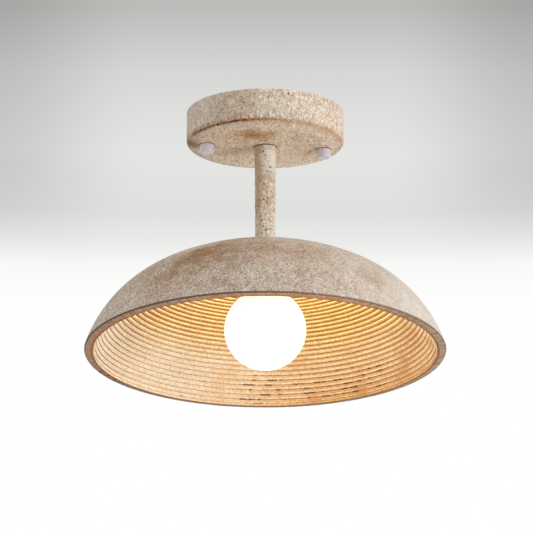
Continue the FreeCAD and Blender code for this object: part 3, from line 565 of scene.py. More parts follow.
def stone_finish():
    """The cast compound's look, shared by canopy, stem and dome: clouds, stains, grain, the
    curls that its mould leaves and dark specks."""
    group = bpy.data.node_groups.new("cast_compound", "ShaderNodeTree")
    for way, kind, labels in (
            ("INPUT", "Vector", ("Place", "Shift")),
            ("INPUT", "Color", ("Base", "Cloud", "Stain", "Speck")),
            ("INPUT", "Float", ("Cloud share", "Stain share", "Speck share", "Grain", "Curls")),
            ("OUTPUT", "Color", ("Color",)), ("OUTPUT", "Float", ("Roughness", "Height"))):
        for label in labels:
            group.interface.new_socket(label, in_out=way, socket_type="NodeSocket" + kind)
    wanted = add(group, "NodeGroupInput").outputs
    place = shift("ADD", wanted["Place"], wanted["Shift"])
    cloud = fade(noise(place, 17.0, 4.0, 0.62), 0.42, 0.66)
    colour = blend(cloud * wanted["Cloud share"], wanted["Base"], wanted["Cloud"])
    mottle = noise(place, 110.0, 3.0, 0.6)
    colour = graded(colour, 1.0, mottle, (0.32, (0.88, 0.86, 0.84)), (0.68, (1.1, 1.1, 1.1)))
    stain = fade(noise(place, 48.0, 5.0, 0.7), 0.54, 0.72)
    colour = blend(stain * wanted["Stain share"], colour, wanted["Stain"])
    grain = noise(place, 560.0, 2.0, 0.7)
    colour = graded(colour, wanted["Grain"], grain, (0.34, (0.34, 0.29, 0.25)),
                    (0.48, (1, 1, 1)), (0.66, (1.36, 1.38, 1.41)))
    colour = graded(colour, wanted["Curls"], curling(squeeze(place, (1, 1, 0.75)), 1.5, 0.6),
                    (0.0, (0.56, 0.42, 0.28)), (0.06, (1, 1, 1)), (0.15, (1.18, 1.2, 1.22)))
    dots = add(group, "ShaderNodeTexVoronoi", {"Vector": place, "Scale": 330.0}).outputs
    chosen = Number(give("ShaderNodeSeparateColor", {0: dots["Color"]}))
    speck = fade(dots["Distance"], 0.30, 0.16) * (chosen + wanted["Speck share"] > 1.0)
    colour = blend(speck * 0.85, colour, wanted["Speck"])
    height = grain + mottle * 0.5 - speck * 0.25
    add(group, "NodeGroupOutput", enumerate((colour, fade(grain, 0.3, 0.7, 0.96, 0.84),
                                             height)))
    return group


cast_compound = stone_finish()


def stone(name, depth, **values):
    """A material of the cast compound; each piece adds its own stains, and its painted light
    and shade, to the colour.
    """
    made, shader, place = finish(name)
    look = add(made.node_tree, "ShaderNodeGroup", node_tree=cast_compound)
    feed(look, {as_label(word): value for word, value in values.items()} | {"Place": place})
    feed(shader, {"Roughness": look.outputs["Roughness"], "Specular IOR Level": 0.25,
                  "Normal": bump(look.outputs["Height"], depth)})
    return made, shader, place, look.outputs["Color"]


def attribute(place, name):
    """A value kept on the mesh."""
    return Number(add(home(place), "ShaderNodeAttribute", attribute_name=name).outputs["Fac"])


def pitted(place, colour):
    """The colour, darker in the mesh's own pits."""
    return blend(attribute(place, "pit") * 0.8, colour, (0.30, 0.23, 0.18, 1), "MULTIPLY")


def patch(place, centre, reach, solid=0.2, ragged=None):
    """A soft patch about a point, in millimetres, round or with a ragged edge."""
    off = Number(shift("DISTANCE", place, [c * mm for c in centre]).node.outputs["Value"])
    if ragged is not None:
        off = off + (ragged - 0.5) * (2.4 * reach * mm)
    return fade(off, reach * mm, reach * mm * solid)


def stained_and_shadowed(colour, place, ragged, *stains):
    """The colour under ragged stains and painted shadows, each by its middle, reach, share and
    tint.
    """
    for centre, reach, share, tint in stains:
        mask = patch(place, centre, reach, 0.0, ragged) * share
        colour = blend(mask, colour, (*tint, 1), "MULTIPLY")
    return colour


def pocked(colour, place, dark, *pits):
    """The colour with single dark pits, each by its middle and reach."""
    for centre, reach in pits:
        colour = blend(patch(place, centre, reach, 0.5) * 0.85, colour, dark)
    return colour


canopy_stone, shader, place, colour = stone(
    "cast_stone", 0.0005, base=paint(217, 207, 193), cloud=paint(203, 192, 177),
    stain=paint(206, 174, 136), speck=paint(84, 68, 54), cloud_share=0.6, stain_share=0.3,
    speck_share=0.03, grain=0.2, shift=(0.31, 0.0, 0.12))
x, y, z = axes(place)
feed(colour.node, {"Curls": fade(x, -0.06, 0.0, 0.4, 0.7)})
on_side = fade(z, -0.0335, -0.0305)
ragged = noise(place, 330.0, 2.0)
streaks = noise(squeeze(place, (1, 1, 0.3)), 560.0, 1.0)
hollows = blend(fade(noise(place, 30.0), 0.42, 0.6), paint(196, 174, 148),
                paint(204, 160, 112))
colour = blend(attribute(place, "low") * pick(on_side, 0.2, 0.5), colour, hollows, "MULTIPLY")
# Painted shade: the side a little greyer towards the left, and darker over a patch at its front
# left, away from the key lamp.
colour = blend(fade(x, -0.01, -0.075) * on_side * 0.04, colour, paint(176, 164, 152))
colour = blend(on_side * patch(place, (-40, -64, -14), 40), colour, (0.91, 0.87, 0.82, 1),
               "MULTIPLY")
# The lower edge: dark and toothed at the left, broken in the middle, a soft stain at right
left, right, front = fade(x, 0.004, -0.028), fade(x, 0.0, 0.03), fade(y, 0.0, -0.03)
teeth = fade(z, -0.0325, -0.0315) * fade(z, -0.025, -0.0295) * fade(streaks, 0.47, 0.56)
line = fade(z, -0.0320, -0.0314) * fade(z, -0.0301, -0.0306) * front
broken = pick(left, fade(ragged, 0.44, 0.56) * 0.8, fade(streaks, 0.34, 0.48, 0.6, 1.0))
rust = blend(fade(ragged, 0.4, 0.6), paint(84, 46, 20), paint(150, 96, 44))
golden = fade(z, -0.0345, -0.0325) * fade(z, -0.0285, -0.0305) * fade(ragged, 0.42, 0.54)
golden = golden * fade(x, -0.038, -0.02) * fade(x, 0.034, 0.014) * front
soft = fade(z, -0.0345, -0.0322) * fade(z, -0.0262, -0.0305) * fade(ragged, 0.3, 0.6)
colour = layers(colour, (teeth * pick(left, 0.3, 0.9) * front, paint(146, 92, 46)),
                (line * broken * (1.0 - right * 0.75), rust),
                (golden * 0.5, paint(184, 136, 76)), (right * soft * 0.45, paint(204, 150, 96)))
# Stains on the underside, painted shadows that stem and cap nuts cast on it, and painted shade
# in dark lines where they bear on it
under = fade(z, -0.0325, -0.0345)
# Painted light: the far half of the underside is painted paler, where the dome shades it.
colour = layers(colour, (under * 0.45, paint(228, 200, 170)),
                (under * fade(y, -0.02, 0.06) * 0.45, paint(240, 222, 200)))
colour = graded(colour, under, curling(squeeze(place, (1, 0.35, 1)), 1.0),
                (0.0, (0.60, 0.47, 0.34)), (0.04, (1, 1, 1)), (0.12, (1.1, 1.12, 1.14)))
colour = stained_and_shadowed(
    colour, place, 0.25 + noise(place, 60.0, 4.0, 0.7) * 0.5,
    ((-16, -34, -35), 27, 0.95, (0.64, 0.46, 0.26)),
    ((-20, -32, -35), 13, 0.7, (0.74, 0.58, 0.38)),
    ((0, -40, -35), 13, 0.6, (0.74, 0.58, 0.38)),
    # Painted shadows, cast to the left by the stem and by the right cap nut.
    ((-27, 12, -35), 13, 0.3, (0.84, 0.72, 0.60)),
    ((40, 20, -35), 15, 0.5, (0.84, 0.72, 0.60)),
    ((-44, -30, -35), 30, 0.6, (0.92, 0.78, 0.66)),
    # Brown, with the painted shadow that the left cap nut casts to its left.
    ((-72, 8, -35), 18, 1.0, (0.50, 0.33, 0.20)),
    ((-74, -4, -34), 15, 0.5, (0.62, 0.44, 0.30)),
    ((52, 18, -35), 34, 0.4, (0.9, 0.9, 0.86)))
# Painted shade: dark rings round the stem and the cap nuts where they meet the underside.
painted_contact_shade = most(patch(place, (0, 0, canopy_floor), 12.4, 0.84), *(
    patch(place, (side * stud_span / 2, 0, canopy_floor), 8.6, 0.8) for side in (1, -1)))
colour = blend(painted_contact_shade * under * 0.7, colour, paint(92, 60, 38))
colour = pocked(colour, place, paint(74, 54, 42), ((13, -74.6, -4.5), 1.5),
                ((72.1, -23.2, -26.5), 1.7), ((46, -60, -9), 1.1), ((-30, -69.5, -14), 1.0))
feed(shader, {"Base Color": colour})

canopy = turned("canopy_cast", [
    (hole_radius, canopy_floor, 2.2), (63, canopy_floor, 1.6), (74.55, -31.4, 0.6),
    (75.75, -29.8, 0.62), (75.75, -0.6, 0.4), (75.15, 0, 3.5), (68.75, 0, 9),
    (68.75, -28, 12), (hole_radius, -28, 4)], 840)
grow("canopy_cast", cast_skin, canopy_stone, {"Upright": 0.8, "Seed": 3}, onto=canopy,
     depth=0.5, wave=2.2, grain=1.2, pit=6, pit_depth=0.8)
place_piece(canopy, "canopy")


# ---- Terminal block ----
# A three pole block moulded in white plastic, screwed to the canopy's floor. Each pole is a
# brass barrel with two slotted clamp screws.

def moulded(name, colour, roughness, grain=0.00003, dust=0.0, dusty=(0, 0, 0, 1)):
    """Moulded plastic, rubber or glaze: a faint unevenness of tone and an orange-peel skin."""
    made, shader, place = finish(name)
    uneven = noise(place, 220.0, 3.0)
    darker = [c * 0.9 for c in colour[:3]] + [1.0]
    tone = blend(fade(uneven, 0.35, 0.7), colour, darker)
    if dust:
        tone = blend(fade(noise(place, 60.0, 4.0, 0.7), 0.45, 0.75, 0.0, dust), tone, dusty)
    feed(shader, {
        "Base Color": tone, "Normal": bump(noise(place, 1500.0, 1.0), grain),
        "Roughness": fade(uneven, 0.3, 0.7, roughness - 0.05, roughness + 0.07)})
    return made


wear("terminal_block", moulded("block_plastic", paint(232, 230, 224), 0.42))
brass = metal("brass", paint(222, 190, 118), paint(196, 158, 88), 0.28)
wear("terminal_barrels", brass)
block_y = 43
fit("terminal_screws", "brass", "clamp_screws", machine_screw, brass,
    {"Count": 3, "Lines": 2}, at=(0, block_y, -16.1), radius=1.5, pitch=0.5, depth=0.2,
    length=2.4, head_radius=1.45, head_height=1.1, slot=0.6, apart=10, lines_apart=8)
fit("block_screw", "zinc_steel", "block_fixing", machine_screw, zinc, at=(5, block_y, -14),
    radius=1.5, pitch=0.5, depth=0.25, length=18, head_radius=2.8, head_height=2, slot=0.8)


# ---- Threaded tube and what it clamps in the canopy ----
# A steel tube, threaded all along, holds canopy, stem and dome together. Above the canopy's
# floor come a washer, a toothed washer, the crimped earth terminal and a nut.

toothed_washer, given = new_tree("toothed_washer", ("Outer radius", "Bore", "Thick", "Teeth"))
mesh, turn, row = lattice(toothed_washer, 112, 5)
tooth_width = 0.62
cut = calc("FRACT", 0.01 + turn * given["Teeth"])
tooth = cut < tooth_width
rim = given["Outer radius"] * (1.0 - 0.2 * (1.0 - tooth))
outer = (row > 1.5) * (row < 3.5)
lift = tooth * (outer * (given["Thick"] * (cut - tooth_width / 2)))
rise = lift + given["Thick"] * pick(most(row < 0.5, row > 2.5), 0.22, 0.78)
washer = wrap(mesh, turn, pick(outer, given["Bore"], rim), rise)
close_tree(crisp(washer), given)

tube_steel = metal("tube_steel", paint(196, 190, 174), paint(160, 152, 136), 0.4)
fit("threaded_tube", "tube_steel", "nipple_tube", threaded_rod, tube_steel,
    at=(0, 0, -160.9), radius=5, pitch=1, depth=0.5, length=143.9, bore=4)
wear("canopy_washer", zinc)
for name, level in (("canopy_lock_washer", -26), ("holder_lock_washer", -153.4)):
    fit(name, "zinc_steel", "toothed_" + name, toothed_washer, zinc, {"Teeth": 14},
        at=(0, 0, level), outer_radius=9, bore=hole_radius, thick=1.2)
for name, level, tall in (("canopy_nut", -24, 5), ("holder_nut", -157.4, 4)):
    fit(name, "zinc_steel", "chamfered_" + name, hexagon_nut, zinc, at=(0, 0, level),
        flats=14, height=tall, bore=5.05)
wear("earth_ring", metal("tinned_copper", paint(214, 208, 198), paint(190, 178, 160), 0.3))
white_plastic = moulded("white_plastic", paint(206, 202, 206), 0.3)
wear("wire_bushings", white_plastic)


# ---- Leads ----
# Three single-core leads in plastic sleeves. Live and neutral come over from the block and
# down the tube to the lampholder, the earth goes to its terminal.

def lead(name, sleeve, route):
    """A lead along a smooth curve through its route, in millimetres."""
    curve = bpy.data.curves.new(name, "CURVE")
    curve.dimensions = "3D"
    run = curve.splines.new("NURBS")
    run.points.add(len(route) - 1)
    for point, corner in zip(run.points, route):
        point.co = [c * mm for c in corner] + [1.0]
    run.order_u = 3
    run.use_endpoint_u = True
    curve.bevel_depth = 0.9 * mm
    curve.bevel_resolution = 3
    curve.resolution_u = 10
    curve.use_fill_caps = True
    laid = add_object(name + "_laid", curve)
    mesh = plain_mesh(laid)
    bpy.data.objects.remove(laid)
    mesh.materials.clear()
    mesh.materials.append(sleeve)
    place_piece(add_object(name + "_sleeved", mesh), name)


for name, side, colour in (("live", -1, paint(112, 66, 40)),
                           ("neutral", 1, paint(56, 98, 168))):
    lead(name + "_lead", moulded(name + "_sleeve", colour, 0.38), [
        (side * x, y, z) for x, y, z in (
            (1.8, 0, -167.9), (1.8, 0, -90), (1.8, 0, -24), (1.8, 0, -14), (1.9, 0.4, -7.6),
            (4.2, 9, -6.2), (7.6, 19, -11), (10, 25, -20.4), (10, 31, -21), (10, 40, -21))])
earth_sleeve, shader, place = finish("earth_sleeve")
x, y, z = axes(place)
stripe = calc("SINE", calc("ARCTAN2", x, z + 0.0215) * 2.0)
feed(shader, {
    "Base Color": blend(fade(stripe, -0.1, 0.1), paint(60, 134, 62), paint(226, 200, 56)),
    "Roughness": fade(noise(place, 900.0), 0.3, 0.7, 0.34, 0.46)})
lead("earth_lead", earth_sleeve, [(0, 19, -23), (0, 23, -23), (0, 27, -22), (0, 31, -21),
                                  (0, 40, -21)])


# ---- Stem sleeve ----
# A cast tube round the threaded tube, a little wider at the top, in the same compound, with
# small pits in three bands, rust-coloured patches and painted shade down its left side, a
# painted highlight high on its right and painted shade at its foot by the dome.

crown_level = round(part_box("stem_sleeve")[0].z / mm, 3)
stem_stone, shader, place, colour = stone(
    "stem_stone", 0.0004, base=paint(216, 206, 188), cloud=paint(198, 176, 146),
    stain=paint(180, 138, 94), speck=paint(66, 54, 44), cloud_share=0.8, stain_share=0.5,
    speck_share=0.05, grain=0.6, curls=0.35, shift=(0.0, 0.4, 0.0))
x, y, z = axes(place)
# Painted shade: patchy brown down the left side, away from the key lamp.
left = fade(x, -0.002, -0.0095) * fade(noise(squeeze(place, (1, 1, 0.4)), 90.0, 3.0, 0.7),
                                       0.34, 0.6)
rust = most(patch(place, (0, -9, -75), 17), patch(place, (-6, -8, -97), 16))
rust = rust * fade(noise(place, 170.0, 3.0, 0.7), 0.42, 0.58)
bands = most(*(patch(place, (0, 0, level), reach, 0.6)
               for level, reach in ((-44, 17), (-92, 22), (-122, 17))))
small_pits = fade(noise(squeeze(place, (1, 1, 0.55)), 430.0, 1.0), 0.66, 0.71) * bands
# Painted highlight: a pale patch high on the front right.
colour = layers(colour, (left * 0.75, paint(168, 126, 84)),
                (patch(place, (8, -8, -48), 20) * 0.55, paint(232, 230, 222)),
                (rust * 0.6, paint(172, 122, 76)), (small_pits * 0.9, paint(66, 52, 40)))
colour = pocked(
    colour, place, paint(62, 52, 44), ((-4.8, -8.7, -112.2), 1.4), ((-3.2, -9.2, -42.5), 1.5),
    ((2.9, -9.4, -111.4), 1.2), ((4.2, -9, -113), 1.2), ((-3.1, -9.4, -118), 1.0),
    ((4.1, -9, -120.6), 1.1), ((-0.5, -9.9, -121.9), 1.3), ((0.5, -9.9, -83.6), 1.0),
    ((-2.7, -9.4, -91), 1.1), ((1.1, -9.8, -89.7), 0.9), ((0.3, -9.9, -93.5), 1.0),
    ((-1.2, -9.6, -46), 1.1), ((3.8, -9, -58), 1.3))
# Painted shade: darker at the foot, where the stem meets the dome.
colour = blend(fade(z, -0.1375, -0.1392) * 0.5, colour, paint(150, 112, 82))
feed(shader, {"Base Color": pitted(place, colour)})
stem = turned("stem_cast", [
    (hole_radius, crown_level, 3), (9.3, crown_level, 0.5), (9.7, -139.1, 0.6),
    (10.3, -35.5, 0.5), (9.9, canopy_floor, 3), (hole_radius, canopy_floor, 8)], 120)
grow("stem_cast", cast_skin, stem_stone, {"Upright": 0.7, "Pit share": 0.06, "Seed": 7},
     onto=stem, depth=0.3, wave=3.2, grain=1.4, pit=4, pit_depth=0.5)
place_piece(stem, "stem_sleeve")


# ---- Shade ----
# The dome is cast in the same compound, 9 mm thick. Inside it steps down in rings, each a
# flat-lying tread and an upright riser, at one pitch along a wall of two tangent arcs. The
# last ring is a narrow one by the lip.

dome, given = new_tree("terraced_dome", (
    "Crown radius", "Side radius", "Join angle", "Lip angle", "Inner lip angle", "Wall",
    "Hole radius", "Seat radius", "Inner seat radius", "Lip edge", "Ring pitch", "Ring depth",
    "Rings", "Segments", "Waver"))
crown_radius, side_radius, wall = given["Crown radius"], given["Side radius"], given["Wall"]
join_angle, lip_angle = given["Join angle"], given["Lip angle"]
inner_lip_angle, lip_edge = given["Inner lip angle"], given["Lip edge"]
inner_crown, inner_side = crown_radius - wall, side_radius - wall
apart = crown_radius - side_radius
crown_z = -1.0 * calc("SQRT", calc("POWER", crown_radius, 2.0) -
                      calc("POWER", given["Seat radius"], 2.0))
side_x, side_z = apart * calc("SINE", join_angle), crown_z + apart * calc("COSINE", join_angle)
first_angle = calc("ARCSINE", given["Inner seat radius"] / inner_crown)
crown_run = (join_angle - first_angle) * inner_crown
edge_turn = lip_edge / inner_side


def wall_point(angle, inset):
    """Radius and height of the wall at that angle from the axis, set in from outside."""
    on_side = angle > join_angle
    reach = pick(on_side, crown_radius, side_radius) - inset
    return (on_side * side_x + reach * calc("SINE", angle),
            pick(on_side, crown_z, side_z) + reach * calc("COSINE", angle))


def crest(number):
    """Angle of a ring's crest, counted from the crown; the last one stops by the lip."""
    length = number * given["Ring pitch"]
    on_side = join_angle + (length - crown_run) / inner_side
    along = pick(length > crown_run, first_angle + length / inner_crown, on_side)
    return least(along, inner_lip_angle - edge_turn * 1.3)


def choose(choice, otherwise, wanted):
    """One radius and height or another, as pick does for one number."""
    return [pick(choice, one, other) for one, other in zip(otherwise, wanted)]


outside_rows, lip_rows, ring_rows = 52, 6, 5
row_count = given["Rings"] * ring_rows + (outside_rows + lip_rows + 6)
mesh, turn, row = lattice(dome, calc("ROUND", given["Segments"]), row_count)

# Outside, from the hole and the seat on the crown down to the lip
seat_angle = calc("ARCSINE", given["Seat radius"] / crown_radius)
edge_angle = lip_angle - lip_edge / side_radius
share = (row - 2.0) / (outside_rows - 1)
spot = wall_point(pick(share, seat_angle, edge_angle), 0.0)
spot = choose(row < 1.5, spot, (given["Hole radius"], (row < 0.5) * (-1.0 * wall)))

# Across the lip, whose edges are eased, and on to the wall inside
outer_lip, inner_lip = wall_point(lip_angle, 0.0), wall_point(inner_lip_angle, wall)
lip_row = row - (outside_rows + 1)
lip_width = calc("SQRT", calc("POWER", outer_lip[0] - inner_lip[0], 2.0) +
                 calc("POWER", outer_lip[1] - inner_lip[1], 2.0))
eased = lip_edge / lip_width
over = eased + (lip_row - 1.0) / (lip_rows - 2.0) * (1.0 - eased * 2.0)
spot = choose(lip_row > 0.5, spot, choose(over, outer_lip, inner_lip))
turned_in = lip_row > lip_rows - 0.5
spot = choose(turned_in, spot, wall_point(inner_lip_angle - edge_turn * 0.5, wall))

# Inside, ring by ring back up to the crown: rows 0 to 2 of a ring climb its riser from the
# crest, and 3 and 4 go back along the tread to the next crest
inner_row = row - (outside_rows + 1 + lip_rows)
inside = inner_row > 0.5
up = inner_row - 1.0
from_lip = calc("FLOOR", (up + 0.01) / ring_rows)
part = up - from_lip * ring_rows
number = given["Rings"] - from_lip
crest_angle = crest(number)
crest_r, crest_z = wall_point(crest_angle, wall)
next_crest = wall_point(crest(number - 1.0), wall)
narrow_rise = (next_crest[1] - crest_z) * 0.74
rise = least(given["Ring depth"] / calc("COSINE", crest_angle), narrow_rise)
on_riser, climb, along = part < 2.5, part / 2.0, (part - 2.0) / 3.0
step = choose(on_riser, choose(along, (crest_r, crest_z + rise), next_crest),
              (crest_r, crest_z + climb * rise))
spot = choose(inside, spot, step)
last_reach = pick(row > row_count - 1.5, given["Inner seat radius"], given["Hole radius"])
radius, height = choose(row > row_count - 2.5, spot, (last_reach, -1.0 * wall))

# The crests waver a little, each in its own way, as the pattern was turned by hand
angle = turn * math.tau
waver = noise(vector(calc("COSINE", angle) * 9.0, calc("SINE", angle) * 9.0, number * 3.7),
              1.6, 4.0, 0.65)
waver = (waver - 0.5) * (given["Waver"] * inside)
shape = keep(mesh, inside=turned_in, ring=number,
             groove=inside * pick(on_riser, 1.0 - along, climb))
close_tree(crisp(wrap(shape, turn, radius + waver, height, -1.0)), given)

shade_stone, shader, place, colour = stone(
    "shade_stone", 0.0004, base=paint(197, 184, 169), cloud=paint(178, 159, 141),
    stain=paint(166, 128, 94), speck=paint(84, 66, 54), cloud_share=0.7, stain_share=0.3,
    speck_share=0.11, curls=0.5, shift=(0.02, 0.17, 0.33))
x, y, z = axes(place)
feed(colour.node, {"Grain": fade(x, 0.11, 0.0, 0.3, 0.7)})
drifting = 0.15 + 0.7 * noise(squeeze(place, (1, 1, 1.8)), 34.0, 6.0, 0.72)
colour = stained_and_shadowed(
    colour, place, drifting,
    ((-76, -114, -184), 39, 0.85, (0.66, 0.46, 0.28)),
    ((-92, -116, -195), 49.4, 0.65, (0.70, 0.56, 0.42)),
    ((-112, -112, -214), 39, 0.6, (0.70, 0.54, 0.42)),
    ((-46, -108, -173), 54.6, 0.65, (0.76, 0.62, 0.48)),
    ((-12, -126, -182), 44.2, 0.6, (0.82, 0.64, 0.48)),
    ((-36, -140, -198), 36.4, 0.5, (0.78, 0.64, 0.54)),
    ((31, -126, -184), 36.4, 0.5, (0.84, 0.68, 0.54)),
    ((88, -132, -210), 18.2, 0.7, (0.86, 0.66, 0.52)),
    ((-128, -80, -198), 44.2, 0.6, (0.76, 0.64, 0.52)),
    ((-100, -134, -222), 33.8, 0.9, (0.86, 0.79, 0.72)),
    ((-66, -146, -212), 39, 0.85, (0.88, 0.83, 0.78)),
    ((13, -165, -220), 85.8, 0.25, (0.80, 0.72, 0.66)))
outer_line = fade(z, -0.2390, -0.2396) * fade(x, 0.10, -0.06, 0.5, 0.85)
# Painted light: the outside paler towards the right, where the key lamp falls.
colour = layers(colour, (fade(x, 0.05, 0.15) * 0.35, paint(212, 206, 198)),
                (outer_line, paint(96, 66, 48)))

# Inside, painted light from the globe: a cream painted highlight on each crest, painted
# shade in the rust-coloured hollow behind it and a thin dark line of painted shade in its
# corner. Towards the lip the ledges that face down are painted cream as lit and the upright
# faces tan as shaded. At the left the colours are painted greyer, as the key lamp's white
# light falls there, and at the right warmer.
bare = axes(add(home(place), "ShaderNodeNewGeometry").outputs["True Normal"])[2]
groove, ring = attribute(place, "groove"), attribute(place, "ring")
painted_light_side = fade(x, -0.09, 0.10)
painted_crest_highlight = blend(painted_light_side, paint(242, 226, 184), paint(246, 232, 174))
hollow = blend(painted_light_side, paint(198, 146, 82), paint(204, 156, 86))
painted_lit_ledge = blend(painted_light_side, paint(219, 203, 186), paint(240, 214, 178))
face = blend(painted_light_side, paint(214, 196, 174), paint(212, 168, 118))
inner = blend(fade(ring, 21.0, 31.0), blend(fade(groove, 0.22, 0.42), painted_crest_highlight, hollow),
              blend(fade(bare, -0.45, -0.8), face, painted_lit_ledge))
# Painted light: the dark corner lines fainter at the far left, where the key lamp falls.
painted_key_light_part = fade(x, 0.09, 0.0) * fade(y, 0.07, 0.13)
inner = blend(fade(groove, 0.70, 0.92) * pick(painted_key_light_part, 0.85, 0.45), inner,
              blend(painted_light_side, paint(72, 48, 32), paint(128, 70, 30)))
inner = graded(inner, 0.8, noise(place, 420.0, 3.0, 0.8), (0.36, (0.70, 0.64, 0.58)),
               (0.5, (1, 1, 1)), (0.64, (1.2, 1.2, 1.2)))
rusty = fade(noise(place, 34.0, 5.0, 0.7), 0.50, 0.66) * fade(z, -0.19, -0.225)
inner = blend(rusty * pick(painted_light_side, 0.1, 0.6), inner, paint(196, 136, 84))
inner = stained_and_shadowed(
    inner, place, drifting,
    ((48, 134, -212), 15.6, 0.5, (0.78, 0.60, 0.40)),
    ((146, 26, -209), 28.6, 0.9, (0.84, 0.70, 0.56)),
    ((143, 52, -212), 26, 0.5, (0.86, 0.74, 0.62)),
    ((-64, 128, -203), 52, 0.8, (0.90, 0.88, 0.88)),
    ((-118, 90, -210), 52, 0.8, (0.92, 0.86, 0.82)))
# Painted shade in the groove corners, broken into dashes, over a field near the far rim.
field = most(*(patch(place, centre, reach, solid) for centre, reach, solid in (
    ((20, 160, -230), 28, 0.7), ((62, 150, -228), 26, 0.7), ((96, 130, -223), 26, 0.7),
    ((122, 108, -224), 20, 0.6))))
dash_breaks = noise(vector(x * 110.0, y * 110.0, ring * 2.3), 1.0, 3.0, 0.6) + field * 0.12
painted_groove_shade = (fade(dash_breaks, 0.655, 0.69) * fade(groove, 0.66, 0.76) * fade(ring, 30.5, 31.5) *
          fade(field, 0.1, 0.35))
# Painted shade: the dark dashes, and a brown band on the last narrow ring where it meets the
# lip.
inner = layers(inner, (painted_groove_shade * 0.9, paint(88, 48, 24)),
               (fade(ring, 37.5, 37.9, 0.0, 0.8), paint(140, 90, 54)))
colour = blend(fade(attribute(place, "inside"), 0.4, 0.6), colour, inner)

# The lip: grey-brown, brushed outwards, darker at the far side, with a dark line at its outer
# edge, and painted shade in orange-brown at its inner edge, strongest at the left
flat = squeeze(place, (1, 1, 0))
reach = Number(shift("LENGTH", flat).node.outputs["Value"])
lip = ramp(noise(shift("NORMALIZE", flat), 120.0, 3.0, 0.8), (0.36, paint(126, 98, 74)),
           (0.64, paint(188, 162, 138)))
lip = layers(lip, (fade(y, 0.03, 0.15, 0.0, 0.75), paint(136, 108, 84)),
             (fade(y, -0.13, -0.17, 0.0, 0.6), paint(196, 142, 102)),
             # Painted shade: orange-brown on the inner part of the lip at the left.
             (fade(reach, 0.1712, 0.1694) * fade(x, -0.11, -0.15, 0.0, 0.6),
              paint(180, 122, 76)))
lip = graded(lip, 0.9, noise(place, 330.0, 3.0, 0.8), (0.38, (0.70, 0.64, 0.58)),
             (0.5, (1, 1, 1)), (0.62, (1.24, 1.22, 1.2)))
crumbs = patch(place, (-140, 96, -241), 30, 0.5) * fade(noise(place, 420.0, 1.0), 0.50, 0.56)
outer_line = fade(reach, 0.1733, 0.1739) * fade(x, 0.15, -0.05, 0.55, 0.85)
# Painted shade along the lip's inner edge.
painted_inner_edge_shade = fade(reach + 0.0016 * fade(y, 0.0, 0.12), 0.1688, 0.1676)
lip = layers(lip, (crumbs * 0.9, paint(70, 42, 24)), (outer_line, paint(78, 56, 42)),
             (painted_inner_edge_shade * 0.8, paint(140, 84, 44)))
colour = blend(fade(z - reach * 0.2022, -0.2754, -0.2757), colour, lip)
feed(shader, {"Base Color": pitted(place, colour)})
shade = grow("shade_cast", dome, shade_stone, {
    "Join angle": math.radians(26.3), "Lip angle": math.radians(71.0),
    "Inner lip angle": math.radians(70.4513), "Rings": 37, "Segments": 360},
    at=(0, 0, crown_level), crown_radius=243, side_radius=134.0114, wall=9,
    hole_radius=hole_radius, seat_radius=13, inner_seat_radius=26, lip_edge=1,
    ring_pitch=4.83, ring_depth=1.2, waver=0.5)
grow("shade_cast", cast_skin, shade_stone, {"Upright": 1.0, "Pit share": 0.05, "Seed": 11},
     onto=shade, depth=0.16, wave=5, grain=2.4, pit=6, pit_depth=0.3)
place_piece(shade, "shade")


# ---- Lamp cup under the crown ----
# A rubber pad and a steel washer spread the load under the crown. The cup is spun from
# sheet, painted, and hides the lampholder's bracket.

wear("shade_pad", moulded("pad_rubber", paint(58, 56, 54), 0.7, 0.00006, 0.3,
                          paint(110, 106, 100)))
wear("shade_washer", zinc)
cup = turned("spun_cup", [
    (hole_radius, -151, 6), (18.5, -151, 1), (20.1, -151.33, 1), (21.4, -152.2, 1),
    (22.2, -153.5, 1), (22.5, -155, 6), (22.5, -177.5, 1), (22.3, -177.9, 1),
    (21.5, -177.9, 1), (21.3, -177.5, 6), (21.3, -155.2, 1), (20.9, -153.8, 1),
    (20.0, -152.7, 1), (18.5, -152.2, 6), (hole_radius, -152.2, 3)], 96,
    moulded("cup_paint", paint(206, 190, 168), 0.5, 0.00008))
place_piece(cup, "lamp_cup")


# ---- Bracket, lampholder and its screws ----
# A bent steel strip on the tube's end carries the two-pin holder of fired ceramic, with
# spring contacts in its slots.

wear("holder_bracket", zinc)
wear("lampholder", moulded("ceramic", paint(236, 232, 222), 0.25, 0.00005, 0.25,
                           paint(206, 198, 180)))
wear("holder_contacts", brass)
holder_screws = grow("holder_fixings", machine_screw, zinc, {"Count": 2}, radius=1.5,
                     pitch=0.5, depth=0.25, length=6.5, head_radius=2.7, head_height=1.8,
                     slot=0.8, apart=23)
holder_screws.data.transform(Matrix.Translation((0, 0, -174.4 * mm)) @
                             Matrix.Rotation(math.pi, 4, "X"))
place_piece(holder_screws, "holder_screws")


# ---- Globe's screw ring ----
# A white moulded ring under the lampholder's flange. The globe's neck turns on to its
# coarse thread and bears on a silicone gasket.

coarse = grow("ring_thread", threaded_rod, white_plastic, at=(0, 0, -184.4), radius=18,
              pitch=3, depth=0.7, length=10, bore=16)
plate = turned("ring_plate", [
    (8.8, -172.4, 3), (20.6, -172.4, 1), (20.9, -172.7, 1), (20.9, -174.1, 1),
    (20.6, -174.4, 3), (8.8, -174.4, 3)], 72, white_plastic)
with bpy.context.temp_override(active_object=coarse, selected_editable_objects=[coarse, plate]):
    bpy.ops.object.join()
coarse.name = "screw_ring"
place_piece(coarse, "globe_screw_ring")
wear("globe_gasket", moulded("gasket_silicone", paint(206, 204, 198), 0.5))


# ---- Capsule lamp ----
# A two-pin lamp: ceramic base, wire pins, a white board with four yellow chips on each
# face, and a clear cover.

